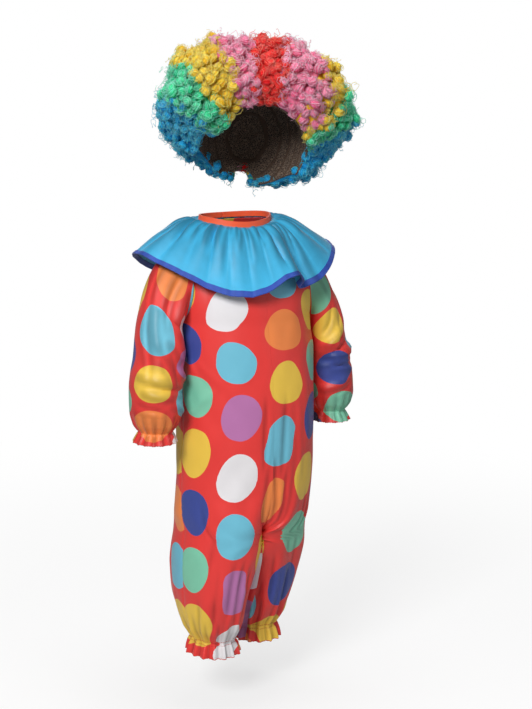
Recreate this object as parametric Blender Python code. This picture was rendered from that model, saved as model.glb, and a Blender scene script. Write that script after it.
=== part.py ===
"""Toddler's clown costume, worn and hollow: a dotted jumpsuit with a ruffle collar, and a curly wig.

Metres, +Z up. The wearer faces -Y and the wearer's left is +X. The origin is the centre of the
neck opening, level with the neck points of the shoulders. Every piece of cloth is a wall of its own.
"""

import math

import bmesh
import bpy
from mathutils import Euler, Matrix, Vector

# ---------------------------------------------------------------- driving dimensions
CLOTH = 0.0013              # wall thickness of the suit and collar
SEAM_GAP = 0.0004           # clear space between two pieces where they are sewn together
BINDING = 0.0024            # thickness of folded bias tape
NECK_BAND_HEIGHT = 0.0080

NECK_HALF_WIDTH = 0.052
NECK_FRONT_DEPTH = 0.046    # from the neck's centre to the front of the neckline
NECK_BACK_DEPTH = 0.040
NECK_FRONT_DROP = 0.007     # how far the neckline dips at the front
NECK_BACK_DROP = 0.002
NECK_SHARE = 0.58           # part of a panel's top edge that is neckline; the rest is shoulder seam
SHOULDER_TIP = Vector((0.097, -0.008, -0.031))
PANEL_WIDTH = 0.14          # of one body panel, from the centre line to the side seam
YOKE_HEIGHT = 0.10          # from the armpit line to the shoulder seam

ARMPIT_Z = -0.130
CROTCH_Z = -0.437
ANKLE_ELASTIC_Z = -0.600
HEM_Z = -0.621
GATHERS_PER_ANKLE = 14
GATHERS_PER_CUFF = 12
GATHERS_IN_COLLAR = 28

WIG_CENTRE = Vector((0.011, -0.040, 0.112))
WIG_TURN = math.radians(-20)    # the head looks towards the wearer's right
WIG_TILT = math.radians(8.5)    # and leans a little to the left
WIG_RADII = Vector((0.128, 0.130, 0.108))
WIG_SQUARENESS = 2.5        # 2 would be an ellipsoid
HAIR_CENTRE = Vector((-0.004, 0.004, 0.028))    # the hair stands higher than the head
CAP_RADII = Vector((0.075, 0.090, 0.090))
CAP_CLOTH = 0.0012
HAIR_STANDOFF = 0.0010      # clear space between the cap and the hair
NAPE_DROP = math.radians(42)    # the bands of hair meet this far below the back of the head
BROW_SPREAD = 0.6           # how much slower than the head the bands narrow towards the brow

# ---------------------------------------------------------------- tables
# The body, level by level. leg_x is how far a leg's centre lies from the middle: at 0 both halves
# make one tube, and once leg_x passes half_width they are two legs.
BODY_COLUMNS = ("z", "leg_x", "half_width", "half_depth", "centre_y")
BODY_SECTIONS = (
    (-0.1300, 0.0000, 0.0985, 0.0760, -0.024),
    (-0.1900, 0.0000, 0.0990, 0.0820, -0.026),
    (-0.2600, 0.0000, 0.0995, 0.0860, -0.025),
    (-0.3300, 0.0000, 0.1000, 0.0870, -0.022),
    (-0.3800, 0.0125, 0.0885, 0.0840, -0.018),
    (-0.4120, 0.0325, 0.0685, 0.0800, -0.013),
    (-0.4370, 0.0487, 0.0485, 0.0770, -0.009),
    (-0.4700, 0.0505, 0.0500, 0.0745, -0.004),
    (-0.5100, 0.0495, 0.0490, 0.0700, 0.000),
    (-0.5500, 0.0470, 0.0455, 0.0615, 0.001),
    (-0.5780, 0.0450, 0.0400, 0.0510, 0.001),
    (-0.6000, 0.0430, 0.0315, 0.0390, 0.001),
    (-0.6210, 0.0430, 0.0360, 0.0430, 0.001),
)
HIP_SWAY = 0.004            # the hips stand this far to the wearer's left of the neck
ANKLE_SWAY = -0.003         # and the ankles this far to the right of it, as the value is negative
LEG_STRIDE = 0.018          # the right leg stands this far forward of the middle, the left behind it

# Handles that round the cloth between the armpit line and the neckline or shoulder seam.
YOKE_COLUMNS = ("u", "low_x", "low_y", "low_z", "high_x", "high_y", "high_z")
YOKE_HANDLES = (
    (0.00, 0.000, 0.001, 0.045, 0.000, 0.024, -0.030),
    (0.29, 0.000, 0.004, 0.046, 0.012, 0.028, -0.024),
    (0.58, -0.002, 0.010, 0.050, 0.020, 0.032, -0.014),
    (1.00, -0.003, 0.030, 0.016, 0.002, 0.036, -0.012),
)
YOKE_ROWS = 6               # rows of cloth between the armpit line and the shoulder

# A sleeve, from its cap (0.3; the armhole is 0) to its hem (1), by its under and outer lines as
# seen from the front.
SLEEVE_COLUMNS = ("along", "under_x", "under_z", "outer_x", "outer_z", "half_front", "y")
SLEEVE_SECTIONS = (
    (0.30, 0.1045, -0.1440, 0.1445, -0.0990, 0.0365, -0.020),
    (0.40, 0.1045, -0.1580, 0.1555, -0.1330, 0.0380, -0.024),
    (0.55, 0.1040, -0.1860, 0.1650, -0.1770, 0.0400, -0.028),
    (0.70, 0.1045, -0.2230, 0.1735, -0.2190, 0.0400, -0.029),
    (0.82, 0.1055, -0.2500, 0.1750, -0.2490, 0.0380, -0.030),
    (0.90, 0.1110, -0.2680, 0.1700, -0.2680, 0.0320, -0.030),
    (0.95, 0.1185, -0.2805, 0.1635, -0.2805, 0.0250, -0.030),
    (1.00, 0.1135, -0.2950, 0.1705, -0.2950, 0.0315, -0.030),
)
SLEEVE_CAP = 0.30           # the part of a sleeve that rounds from the armhole into a tube
ARM_SPREAD = 0.005          # the right shoulder hangs this far further out, the left further in
ARM_SWING = 0.005           # and this far forward of the middle, the left behind it

# Soft folds. around: 0 centre front, 0.5 side seam, 1 centre back. side: 1 left, -1 right, 0 both.
FOLD_COLUMNS = ("side", "around", "along", "slant", "length", "width", "height")
BODY_FOLDS = (
    (-1, 0.20, -0.545, 3, 0.120, 0.012, 0.0035),
    (-1, 0.36, -0.560, -3, 0.100, 0.011, 0.0030),
    (-1, 0.10, -0.420, 10, 0.110, 0.012, 0.0032),
    (1, 0.12, -0.430, -6, 0.150, 0.011, 0.0040),
    (1, 0.22, -0.520, -4, 0.160, 0.012, 0.0045),
    (1, 0.36, -0.500, 2, 0.150, 0.012, 0.0035),
    (1, 0.20, -0.260, 5, 0.160, 0.014, 0.0025),
    (1, 0.42, -0.200, 12, 0.120, 0.013, 0.0030),
    (-1, 0.38, -0.215, -22, 0.090, 0.013, 0.0028),
    (-1, 0.62, -0.520, 3, 0.150, 0.012, 0.0035),
    (-1, 0.80, -0.540, -4, 0.130, 0.012, 0.0035),
    (1, 0.64, -0.530, -3, 0.150, 0.012, 0.0035),
    (1, 0.82, -0.500, 4, 0.150, 0.012, 0.0040),
    (0, 0.86, -0.330, 8, 0.150, 0.015, 0.0030),
    (0, 0.66, -0.250, -8, 0.140, 0.015, 0.0025),
)
# around: 0 under the arm, 0.25 front, 0.5 outside, 0.75 back. along is the sleeve's own 0 to 1.
SLEEVE_FOLDS = (
    (1, 0.22, 0.56, 68, 0.060, 0.0075, 0.0050),
    (1, 0.28, 0.66, -62, 0.060, 0.0075, 0.0045),
    (1, 0.50, 0.58, 75, 0.050, 0.0080, 0.0050),
    (1, 0.20, 0.78, 70, 0.060, 0.0075, 0.0045),
    (1, 0.42, 0.40, 20, 0.060, 0.0080, 0.0030),
    (-1, 0.10, 0.62, 66, 0.055, 0.0075, 0.0050),
    (-1, 0.30, 0.72, 80, 0.065, 0.0080, 0.0045),
    (-1, 0.16, 0.80, 60, 0.055, 0.0075, 0.0045),
    (-1, 0.36, 0.40, 15, 0.080, 0.0090, 0.0035),
    (-1, 0.22, 0.48, 35, 0.060, 0.0080, 0.0035),
    (0, 0.78, 0.62, 70, 0.060, 0.0080, 0.0045),
    (0, 0.70, 0.76, -65, 0.055, 0.0080, 0.0040),
)
# The collar's rim all round. angle: 0 front, 90 the wearer's left, -90 right, 180 back.
RIM_COLUMNS = ("angle", "reach", "z")
COLLAR_RIM = (
    (-180, 0.1100, -0.0910),
    (-166, 0.1150, -0.0810),
    (-152, 0.1190, -0.0850),
    (-135, 0.1290, -0.0740),
    (-117, 0.1410, -0.0540),
    (-90, 0.1476, -0.0385),
    (-75, 0.1380, -0.0490),
    (-60, 0.1280, -0.0630),
    (-40, 0.1210, -0.0820),
    (-27, 0.1190, -0.0900),
    (-10, 0.1180, -0.0820),
    (0, 0.1170, -0.0700),
    (10, 0.1190, -0.0605),
    (18, 0.1240, -0.0575),
    (24, 0.1220, -0.0690),
    (29, 0.1080, -0.0820),
    (35, 0.1080, -0.0845),
    (43, 0.1240, -0.0760),
    (52, 0.1340, -0.0640),
    (63, 0.1402, -0.0510),
    (76, 0.1450, -0.0425),
    (90, 0.1476, -0.0380),
    (110, 0.1420, -0.0510),
    (128, 0.1300, -0.0810),
    (143, 0.1270, -0.0650),
    (158, 0.1160, -0.0880),
    (180, 0.1100, -0.0910),
)
SIDE_END = (108, 119)           # how far the hair reaches down over the right and the left ear
# The wig's coloured bands, over the head from ear (-) to ear (+), and the hairline in front of each.
WIG_BANDS = (
    ("blue_right", -SIDE_END[0], -83),
    ("green_right", -83, -60),
    ("yellow_right", -60, -36),
    ("pink_right", -36, -12),
    ("red_middle", -12, 12),
    ("pink_left", 12, 36),
    ("yellow_left", 36, 60),
    ("green_left", 60, 83),
    ("blue_left", 83, SIDE_END[1]),
)
HAIRLINE_COLUMNS = ("roll", "front")
HAIRLINE = ((0, 52), (36, 53), (60, 50), (76, 42), (88, 18), (98, -3), (119, -10))
BAND_END = math.radians(80)     # where the bands stop, round the nape
HAIR_ROWS = 12                  # rows of locks from the hairline to the nape

# name: (sRGB colour as linear values, roughness)
COLOURS = {
    "red_satin": ((0.74, 0.035, 0.03, 1), 0.42),
    "turquoise_cloth": ((0.07, 0.47, 0.78, 1), 0.50),
    "blue_tape": ((0.05, 0.10, 0.45, 1), 0.50),
    "orange_tape": ((0.90, 0.13, 0.035, 1), 0.50),
    "wig_net": ((0.12, 0.09, 0.07, 1), 0.90),
    "hair_blue": ((0.02, 0.27, 0.50, 1), 0.60),
    "hair_green": ((0.05, 0.48, 0.24, 1), 0.60),
    "hair_yellow": ((0.78, 0.42, 0.03, 1), 0.60),
    "hair_pink": ((0.90, 0.18, 0.32, 1), 0.60),
    "hair_red": ((0.70, 0.02, 0.03, 1), 0.60),
}


# ---------------------------------------------------------------- small helpers
def read_table(columns, rows, at):
    """One row of a table, eased between the rows on each side of `at` without overshooting."""
    keys = [row[0] for row in rows]
    at = min(max(at, min(keys)), max(keys))
    if keys[0] > keys[-1]:
        rows, keys = rows[::-1], keys[::-1]
    low = max(i for i in range(len(rows) - 1) if keys[i] <= at)
    span = keys[low + 1] - keys[low]
    share = (at - keys[low]) / span

    def slope(i, column):
        """Slope of a column at row i, level where the column turns back."""
        if i in (0, len(rows) - 1):
            return 0.0 if i == 0 else (rows[i][column] - rows[i - 1][column]) / (keys[i] - keys[i - 1])
        before = (rows[i][column] - rows[i - 1][column]) / (keys[i] - keys[i - 1])
        after = (rows[i + 1][column] - rows[i][column]) / (keys[i + 1] - keys[i])
        return 0.0 if before * after <= 0 else 2 * before * after / (before + after)

    values = {columns[0]: at}
    for column in range(1, len(columns)):
        start, end = rows[low][column], rows[low + 1][column]
        rise = (2 * share**3 - 3 * share**2 + 1) * start + (3 * share**2 - 2 * share**3) * end
        rise += (share**3 - 2 * share**2 + share) * span * slope(low, column)
        rise += (share**3 - share**2) * span * slope(low + 1, column)
        values[columns[column]] = rise
    return values


def ease(low, high, value):
    """0 below low, 1 above high, and an S curve between."""
    share = min(max((value - low) / (high - low), 0.0), 1.0)
    return share * share * (3 - 2 * share)


def bezier(points, share):
    back = 1 - share
    weights = (back**3, 3 * back * back * share, 3 * back * share * share, share**3)
    return sum((p * w for p, w in zip(points, weights)), Vector())


def soft_fold(across, along, slant, length, width, height):
    """Height of one fold at a distance across and along from its middle, in metres."""
    turn = math.radians(slant)
    off = across * math.cos(turn) + along * math.sin(turn)
    run = along * math.cos(turn) - across * math.sin(turn)
    fade = ease(length / 2, length / 6, abs(run)) if length else 0.0
    return height * math.exp(-((off / width) ** 2)) * fade


def spaced(start, end, count):
    return [start + (end - start) * i / count for i in range(count + 1)]


def material(name):
    if name in bpy.data.materials:
        return bpy.data.materials[name]
    colour, roughness = COLOURS[name]
    made = bpy.data.materials.new(name)
    made.use_nodes = True
    shader = made.node_tree.nodes["Principled BSDF"]
    shader.inputs["Base Color"].default_value = colour
    shader.inputs["Roughness"].default_value = roughness
    shader.inputs["Metallic"].default_value = 0.0
    made.diffuse_color = colour
    return made


def normal_at(surface, u, v, step_u=2e-3, step_v=2e-3):
    """Unit normal of a surface at (u, v), along du x dv."""
    across = surface(u + step_u, v) - surface(u - step_u, v)
    down = surface(u, v + step_v) - surface(u, v - step_v)
    return across.cross(down).normalized()


def shoulder_mitre(u, v, normal):
    """Stands a panel's edge upright along the shoulder seam, so that front and back meet there."""
    upright = Vector((normal.x, 0, normal.z)).normalized()
    return normal.lerp(upright, ease(NECK_SHARE - 0.1, NECK_SHARE, u) * ease(0.9, 0.99, v))


def cloth_wall(name, look, surface, columns, rows, out=0.0, thickness=CLOTH, closed=False, outward=1,
               steps=(2e-3, 2e-3), keep_side=0, mitre=None):
    """A wall that follows surface(u, v): its outer side stands `out` proud, its inner side
    `thickness` further in. columns and rows are the u and v of its cross lines. With keep_side
    1 or -1, none of it crosses to the other side of the middle."""
    shape = bmesh.new()
    skins = []
    for depth in (out, out - thickness):
        grid = []
        for v in rows:
            line = []
            for u in columns:
                normal = normal_at(surface, u, v, *steps) * outward
                normal = mitre(u, v, normal) if mitre else normal
                point = surface(u, v) + normal * depth
                if keep_side:
                    sway = sway_at(point.z)
                    point.x = sway + keep_side * max(keep_side * (point.x - sway), SEAM_GAP / 2)
                line.append(shape.verts.new(point))
            grid.append(line)
        skins.append(grid)
    last_row, last_column = len(rows) - 1, len(columns) - 1
    wrap = len(columns) if closed else last_column

    def quad(a, b, c, d):
        shape.faces.new((a, b, c, d))

    for i in range(last_row):
        for j in range(wrap):
            k = (j + 1) % len(columns)
            outer, inner = skins
            quad(outer[i][j], outer[i + 1][j], outer[i + 1][k], outer[i][k])
            quad(inner[i][j], inner[i][k], inner[i + 1][k], inner[i + 1][j])
        if not closed:
            for j in (0, last_column):
                quad(skins[0][i][j], skins[1][i][j], skins[1][i + 1][j], skins[0][i + 1][j])
    for i in (0, last_row):
        for j in range(wrap):
            k = (j + 1) % len(columns)
            quad(skins[0][i][j], skins[0][i][k], skins[1][i][k], skins[1][i][j])
    return finish_piece(name, look, shape)


def finish_piece(name, look, shape):
    """Turns a bmesh into a smooth-shaded object with all its faces pointing out."""
    bmesh.ops.remove_doubles(shape, verts=shape.verts, dist=1e-6)
    bmesh.ops.recalc_face_normals(shape, faces=shape.faces)
    mesh = bpy.data.meshes.new(name)
    shape.to_mesh(mesh)
    shape.free()
    mesh.shade_smooth()
    mesh.set_sharp_from_angle(angle=math.radians(50))
    made = bpy.data.objects.new(name, mesh)
    made.data.materials.append(material(look))
    bpy.context.scene.collection.objects.link(made)
    return made


# ---------------------------------------------------------------- jumpsuit: front and back panels
def ankle_gathers(around, z):
    """Pleats that the ankle elastic draws up, and the waves of the frill below it."""
    wave = math.cos(2 * math.pi * GATHERS_PER_ANKLE * around)
    above = 0.0030 * ease(ANKLE_ELASTIC_Z + 0.055, ANKLE_ELASTIC_Z + 0.006, z)
    below = 0.0016 * ease(ANKLE_ELASTIC_Z + 0.002, HEM_Z, z)
    pinch = 1 - 0.45 * math.exp(-(((z - ANKLE_ELASTIC_Z) / 0.004) ** 2))
    return wave * (above + below) * pinch


def sway_at(z):
    hips = HIP_SWAY * ease(ARMPIT_Z, ARMPIT_Z - 0.12, z)
    return hips + (ANKLE_SWAY - HIP_SWAY) * ease(CROTCH_Z + 0.06, CROTCH_Z - 0.12, z)


def ring_point(side, around, z):
    """Outer face of the cloth below the armpit. around runs from 0, centre front or inseam, past
    the side seam at 0.5, to 1 at the centre back or inseam again."""
    level = read_table(BODY_COLUMNS, BODY_SECTIONS, z)
    width, depth = level["half_width"], level["half_depth"]
    start = math.acos(min(1.0, level["leg_x"] / width))
    turn = start + around * (2 * math.pi - 2 * start)
    perimeter = (width + depth) * (math.pi - start)
    lift = ankle_gathers(around, z)
    for row in BODY_FOLDS:
        fold = dict(zip(FOLD_COLUMNS, row))
        if fold["side"] in (0, side):
            across = (around - fold["around"]) * perimeter
            lift += soft_fold(across, z - fold["along"], fold["slant"], fold["length"],
                              fold["width"], fold["height"])
    outward = Vector((-math.cos(turn) * depth, -math.sin(turn) * width, 0)).normalized()
    point = Vector((
        level["leg_x"] - width * math.cos(turn),
        level["centre_y"] - depth * math.sin(turn),
        z,
    )) + outward * lift
    point.x = max(point.x, 0.0)
    outer_share = min(point.x / 0.05, 1.0)
    stride = LEG_STRIDE * ease(CROTCH_Z + 0.11 * outer_share, CROTCH_Z - 0.10, z)
    return Vector((side * (point.x + SEAM_GAP / 2) + sway_at(z), point.y + side * stride, z))


def neckline(turn):
    """A point of the neckline. turn is 0 at the front, 90 degrees at the wearer's left."""
    front = math.cos(turn) > 0
    depth = NECK_FRONT_DEPTH if front else NECK_BACK_DEPTH
    drop = NECK_FRONT_DROP if front else NECK_BACK_DROP
    return Vector((
        NECK_HALF_WIDTH * math.sin(turn),
        -depth * math.cos(turn),
        -drop * math.cos(turn) ** 2,
    ))


def yoke_point(side, back, u, rise):
    """Cloth above the armpit: u from the centre line (0) to the armhole (1), rise from the armpit
    line (0) to the neckline and shoulder seam (1)."""
    facing = 1 if back else -1
    base = ring_point(side, 1 - u / 2 if back else u / 2, ARMPIT_Z)
    base.x *= side
    if u <= NECK_SHARE:
        quarter = u / NECK_SHARE * math.pi / 2
        top = neckline(math.pi - quarter if back else quarter)
        top.x += SEAM_GAP / 2
    else:
        share = (u - NECK_SHARE) / (1 - NECK_SHARE)
        top = neckline(math.pi / 2).lerp(SHOULDER_TIP, share)
    handle = read_table(YOKE_COLUMNS, YOKE_HANDLES, u)
    low = base + Vector((handle["low_x"], facing * handle["low_y"], handle["low_z"]))
    high = top + Vector((handle["high_x"], facing * handle["high_y"], handle["high_z"]))
    point = bezier((base, low, high, top), rise)
    return Vector((side * point.x, point.y, point.z))


def panel_surface(side, back):
    """surface(u, v) of one panel. v above 0 is the yoke's rise; below 0 it is metres under the armpit."""
    def surface(u, v):
        if v > 0:
            return yoke_point(side, back, min(max(u, 0.0), 1.0), min(v, 1.0))
        return ring_point(side, 1 - u / 2 if back else u / 2, ARMPIT_Z + v)
    return surface


def build_panels():
    levels = [1 - i / YOKE_ROWS for i in range(YOKE_ROWS + 1)]
    levels += [z - ARMPIT_Z for z in (-0.170, -0.215, -0.260, -0.305, -0.345, -0.378, -0.404, -0.422,
                                      -0.433, CROTCH_Z, -0.460, -0.490, -0.525, -0.558, -0.582,
                                      -0.592, ANKLE_ELASTIC_Z, -0.608, HEM_Z)]
    levels[0] = 1 - SEAM_GAP / YOKE_HEIGHT
    clear = SEAM_GAP / 2 / PANEL_WIDTH
    columns = [clear + (1 - 2 * clear) * i / GATHERS_PER_ANKLE for i in range(GATHERS_PER_ANKLE + 1)]
    for side, word in ((1, "left"), (-1, "right")):
        for back in (False, True):
            name = ("back_" if back else "front_") + word
            outward = -side if back else side
            cloth_wall(name, "red_satin", panel_surface(side, back), columns, levels,
                       outward=outward, steps=(3e-3, 1.5e-3), keep_side=side, mitre=shoulder_mitre)


# ---------------------------------------------------------------- sleeves
def armhole_point(around):
    """The armhole, from the armpit (0) up its front to the shoulder tip (0.5) and down its back. It
    runs straight between the rows of the yoke, as the panels' edges do."""
    back = around > 0.5
    rise = (2 - 2 * around if back else 2 * around) * YOKE_ROWS
    row = min(int(rise), YOKE_ROWS - 1)
    low = yoke_point(1, back, 1.0, row / YOKE_ROWS)
    return low.lerp(yoke_point(1, back, 1.0, (row + 1) / YOKE_ROWS), rise - row)


def sleeve_tube(side, around, along):
    """The round part of a sleeve, for the left arm."""
    ring = read_table(SLEEVE_COLUMNS, SLEEVE_SECTIONS, along)
    spread = side * ARM_SPREAD * (1 - 0.8 * ease(0.3, 0.9, along))
    swing = side * ARM_SWING * ease(0.1, 0.6, along)
    under = Vector((ring["under_x"], ring["y"] + swing, ring["under_z"]))
    outer = Vector((ring["outer_x"] - spread, ring["y"] + swing, ring["outer_z"]))
    turn = 2 * math.pi * around
    spoke = (under - outer) / 2 * math.cos(turn) + Vector((0, -ring["half_front"] * math.sin(turn), 0))
    return (under + outer) / 2 + spoke + spoke.normalized() * sleeve_lift(side, around, along, spoke.length)


def sleeve_surface(side):
    def surface(around, along):
        around = around % 1.0
        if along < SLEEVE_CAP:
            start = armhole_point(around) + Vector((SEAM_GAP, 0, 0))
            end = sleeve_tube(side, around, SLEEVE_CAP)
            leaving = Vector((1, 0, -0.35)).lerp(Vector((0.35, 0, -1)), 0.5 + 0.5 * math.cos(2 * math.pi * around))
            arriving = sleeve_tube(side, around, SLEEVE_CAP + 0.04) - end
            reach = 0.33 * (end - start).length
            handles = (start, start + leaving.normalized() * reach, end - arriving.normalized() * reach, end)
            point = bezier(handles, along / SLEEVE_CAP)
        else:
            point = sleeve_tube(side, around, along)
        return Vector((side * point.x, point.y, point.z))
    return surface


def sleeve_lift(side, around, along, radius):
    """Gathers at the wrist elastic and the creases of the elbow."""
    length = 0.30
    wave = math.cos(2 * math.pi * GATHERS_PER_CUFF * around)
    above = 0.0026 * ease(0.80, 0.93, along) * (1 - 0.5 * math.exp(-(((along - 0.95) / 0.012) ** 2)))
    lift = wave * (above + 0.0010 * ease(0.955, 1.0, along))
    for row in SLEEVE_FOLDS:
        fold = dict(zip(FOLD_COLUMNS, row))
        if fold["side"] in (0, side):
            across = ((around - fold["around"] + 0.5) % 1.0 - 0.5) * 2 * math.pi * radius
            lift += soft_fold(across, (along - fold["along"]) * length, fold["slant"], fold["length"],
                              fold["width"], fold["height"])
    return lift


def build_sleeves():
    rows = [0.0, 0.06, 0.14, 0.22, 0.30, 0.39, 0.47, 0.54, 0.61, 0.68, 0.75, 0.82, 0.88, 0.92, 0.95, 0.975, 1.0]
    count = 2 * GATHERS_PER_CUFF
    columns = [i / count for i in range(count)]
    for side, word in ((1, "left"), (-1, "right")):
        cloth_wall("sleeve_" + word, "red_satin", sleeve_surface(side), columns, rows,
                   closed=True, outward=-side, steps=(4e-3, 3e-3))


# ---------------------------------------------------------------- collar and tapes
COLLAR_START = 0.0017       # the collar's upper face above the neckline, where it is sewn on
TAPE_SHARE = 0.075          # part of the collar's depth that the rim tape takes


def rim_point(turn):
    row = read_table(RIM_COLUMNS, COLLAR_RIM, math.degrees(turn))
    return Vector((row["reach"] * math.sin(turn), -row["reach"] * math.cos(turn), row["z"]))


def collar_surface(turn, share):
    """surface(turn, share) of the collar: share 0 at the neck, 1 at the rim."""
    start = neckline(turn) + Vector((0, 0, COLLAR_START))
    end = rim_point(turn)
    outward = Vector((math.sin(turn), -math.cos(turn), 0))
    fall = start.z - end.z
    near = start + outward * 0.036 + Vector((0, 0, 0.001))
    far = end - outward * 0.024 + Vector((0, 0, 0.38 * fall))
    point = bezier((start, near, far, end), share)
    ridge = 0.5 + 0.5 * math.cos(GATHERS_IN_COLLAR * turn)
    gather = 0.0050 * ease(0.0, 0.10, share) * (1 - 0.85 * ease(0.25, 0.80, share))
    return point + (outward * 0.4 + Vector((0, 0, 1))).normalized() * ridge * gather


def build_collar():
    count = 2 * GATHERS_IN_COLLAR
    slit = SEAM_GAP / NECK_BACK_DEPTH
    columns = spaced(-math.pi + slit, math.pi - slit, count)
    rows = [0.0, 0.10, 0.24, 0.40, 0.56, 0.72, 0.84, 1 - TAPE_SHARE - 0.004]
    cloth_wall("collar", "turquoise_cloth", collar_surface, columns, rows, outward=-1,
               steps=(0.02, 5e-3))
    cloth_wall("collar_binding", "blue_tape", collar_surface, columns, [1 - TAPE_SHARE, 1.0],
               out=(BINDING - CLOTH) / 2, thickness=BINDING, outward=-1, steps=(0.02, 5e-3))


def neck_band_surface(turn, height):
    return neckline(turn) * (1 - 0.02 * height / NECK_BAND_HEIGHT) + Vector((0, 0, COLLAR_START + SEAM_GAP + height))


def build_neck_binding():
    slit = SEAM_GAP / NECK_BACK_DEPTH
    columns = spaced(-math.pi + slit, math.pi - slit, 40)
    cloth_wall("neck_binding", "orange_tape", neck_band_surface, columns,
               [0.0002, NECK_BAND_HEIGHT / 2, NECK_BAND_HEIGHT],
               out=BINDING / 2, thickness=BINDING, outward=1, steps=(0.02, 1e-4))


# ---------------------------------------------------------------- wig
def head_direction(roll, pitch):
    """roll from ear to ear, 0 at the crown; pitch from the face (-90) to the nape (+90)."""
    broad = math.cos(pitch * (BROW_SPREAD if pitch < 0 else 1))
    plain = Vector((math.sin(roll) * broad, math.sin(pitch), math.cos(roll) * math.cos(pitch))).normalized()
    drop = NAPE_DROP * ease(0, math.radians(90), pitch)
    return Matrix.Rotation(-drop, 3, "X") @ plain


def on_ellipsoid(radii, direction, squareness=2):
    size = sum(abs(direction[i] / radii[i]) ** squareness for i in range(3)) ** (1 / squareness)
    return direction / size


def hairline(roll):
    row = read_table(HAIRLINE_COLUMNS, HAIRLINE, abs(math.degrees(roll)))
    return -math.radians(row["front"])


def lock_height(roll, pitch):
    """Clumps of curls over the wig's outside."""
    clump = math.sin(9.5 * roll + 2.0 * math.sin(5 * pitch)) * math.cos(8.0 * pitch + 1.5 * math.sin(4 * roll))
    return 0.0065 * clump


def hair_outside(roll, pitch, rounding):
    direction = head_direction(roll, pitch)
    outer = HAIR_CENTRE + on_ellipsoid(WIG_RADII, direction, WIG_SQUARENESS) + direction * lock_height(roll, pitch)
    return on_ellipsoid(CAP_RADII, direction).lerp(outer, rounding)


def hair_inside(roll, pitch):
    direction = head_direction(roll, pitch)
    return direction * (on_ellipsoid(CAP_RADII, direction).length + HAIR_STANDOFF)


def band_columns(low, high):
    return max(3, round((high - low) / 8))


def build_hair_band(name, look, low, high):
    """One coloured band of hair, from the hairline over the crown to the back."""
    columns, rows = band_columns(low, high), HAIR_ROWS
    shape = bmesh.new()
    skins = ([], [])
    edge = math.radians(12)
    gap = SEAM_GAP / 2
    for i in range(rows + 1):
        for skin in skins:
            skin.append([])
        for j in range(columns + 1):
            roll = math.radians(low + (high - low) * j / columns)
            front = hairline(roll)
            pitch = front + (BAND_END - front) * i / rows
            rounding = 0.62 + 0.38 * ease(front, front + 2 * edge, pitch)
            rounding *= 0.72 + 0.28 * ease(BAND_END, BAND_END - 2 * edge, pitch)
            end = math.radians(SIDE_END[roll > 0])
            rounding *= 0.70 + 0.30 * ease(end, end - math.radians(16), abs(roll))
            across = head_direction(roll + 0.01, pitch) - head_direction(roll - 0.01, pitch)
            inset = across.normalized() * (gap if j == 0 else -gap if j == columns else 0)
            skins[0][-1].append(shape.verts.new(hair_outside(roll, pitch, rounding) + inset))
            skins[1][-1].append(shape.verts.new(hair_inside(roll, pitch) + inset))
    outer, inner = skins
    for i in range(rows):
        for j in range(columns):
            shape.faces.new((outer[i][j], outer[i + 1][j], outer[i + 1][j + 1], outer[i][j + 1]))
            shape.faces.new((inner[i][j], inner[i][j + 1], inner[i + 1][j + 1], inner[i + 1][j]))
        for j in (0, columns):
            shape.faces.new((outer[i][j], inner[i][j], inner[i + 1][j], outer[i + 1][j]))
    for i in (0, rows):
        for j in range(columns):
            shape.faces.new((outer[i][j], outer[i][j + 1], inner[i][j + 1], inner[i][j]))
    return finish_piece(name, look, shape)


def build_cap():
    """The net cap that the hair is sewn to, open over the face and the neck."""
    def surface(roll, share):
        front = hairline(roll)
        pitch = front + (BAND_END - front) * share
        direction = head_direction(roll, pitch)
        return on_ellipsoid(CAP_RADII, direction)
    columns = [math.radians(WIG_BANDS[0][1])]
    for _, low, high in WIG_BANDS:
        columns += spaced(math.radians(low), math.radians(high), band_columns(low, high))[1:]
    return cloth_wall("wig_cap", "wig_net", surface, columns, spaced(0, 1, HAIR_ROWS), thickness=CAP_CLOTH,
                      outward=1, steps=(0.01, 0.005))


def build_wig():
    placed = Matrix.LocRotScale(WIG_CENTRE, Euler((0.0, WIG_TILT, WIG_TURN)), None)
    pieces = [build_cap()]
    for band, low, high in WIG_BANDS:
        colour = band.split("_")[0]
        pieces.append(build_hair_band("wig_hair_" + band, "hair_" + colour, low, high))
    for piece in pieces:
        piece.data.transform(placed)


# ---------------------------------------------------------------- the whole costume
def main():
    for old in list(bpy.data.objects):
        bpy.data.objects.remove(old, do_unlink=True)
    build_panels()
    build_sleeves()
    build_collar()
    build_neck_binding()
    build_wig()


main()
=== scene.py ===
import math
import random

import bpy
import numpy as np
from mathutils import Euler, Matrix, Vector


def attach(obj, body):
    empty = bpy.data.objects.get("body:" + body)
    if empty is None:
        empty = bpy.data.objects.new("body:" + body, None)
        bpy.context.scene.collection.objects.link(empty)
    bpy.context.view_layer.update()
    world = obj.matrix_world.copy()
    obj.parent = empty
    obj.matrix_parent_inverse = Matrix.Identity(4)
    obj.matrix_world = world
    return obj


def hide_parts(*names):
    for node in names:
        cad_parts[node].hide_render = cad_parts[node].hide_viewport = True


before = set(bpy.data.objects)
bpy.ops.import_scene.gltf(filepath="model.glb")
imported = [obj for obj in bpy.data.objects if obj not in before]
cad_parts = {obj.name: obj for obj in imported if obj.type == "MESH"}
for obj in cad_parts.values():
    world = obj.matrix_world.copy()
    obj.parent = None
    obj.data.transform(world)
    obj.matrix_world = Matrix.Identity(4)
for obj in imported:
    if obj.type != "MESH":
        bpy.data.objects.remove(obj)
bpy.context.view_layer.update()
bpy.ops.object.select_all(action="DESELECT")
mm = 0.001
leftSide, rightSide = 1, -1
print("frame loaded:", len(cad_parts), "nodes")


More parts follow.
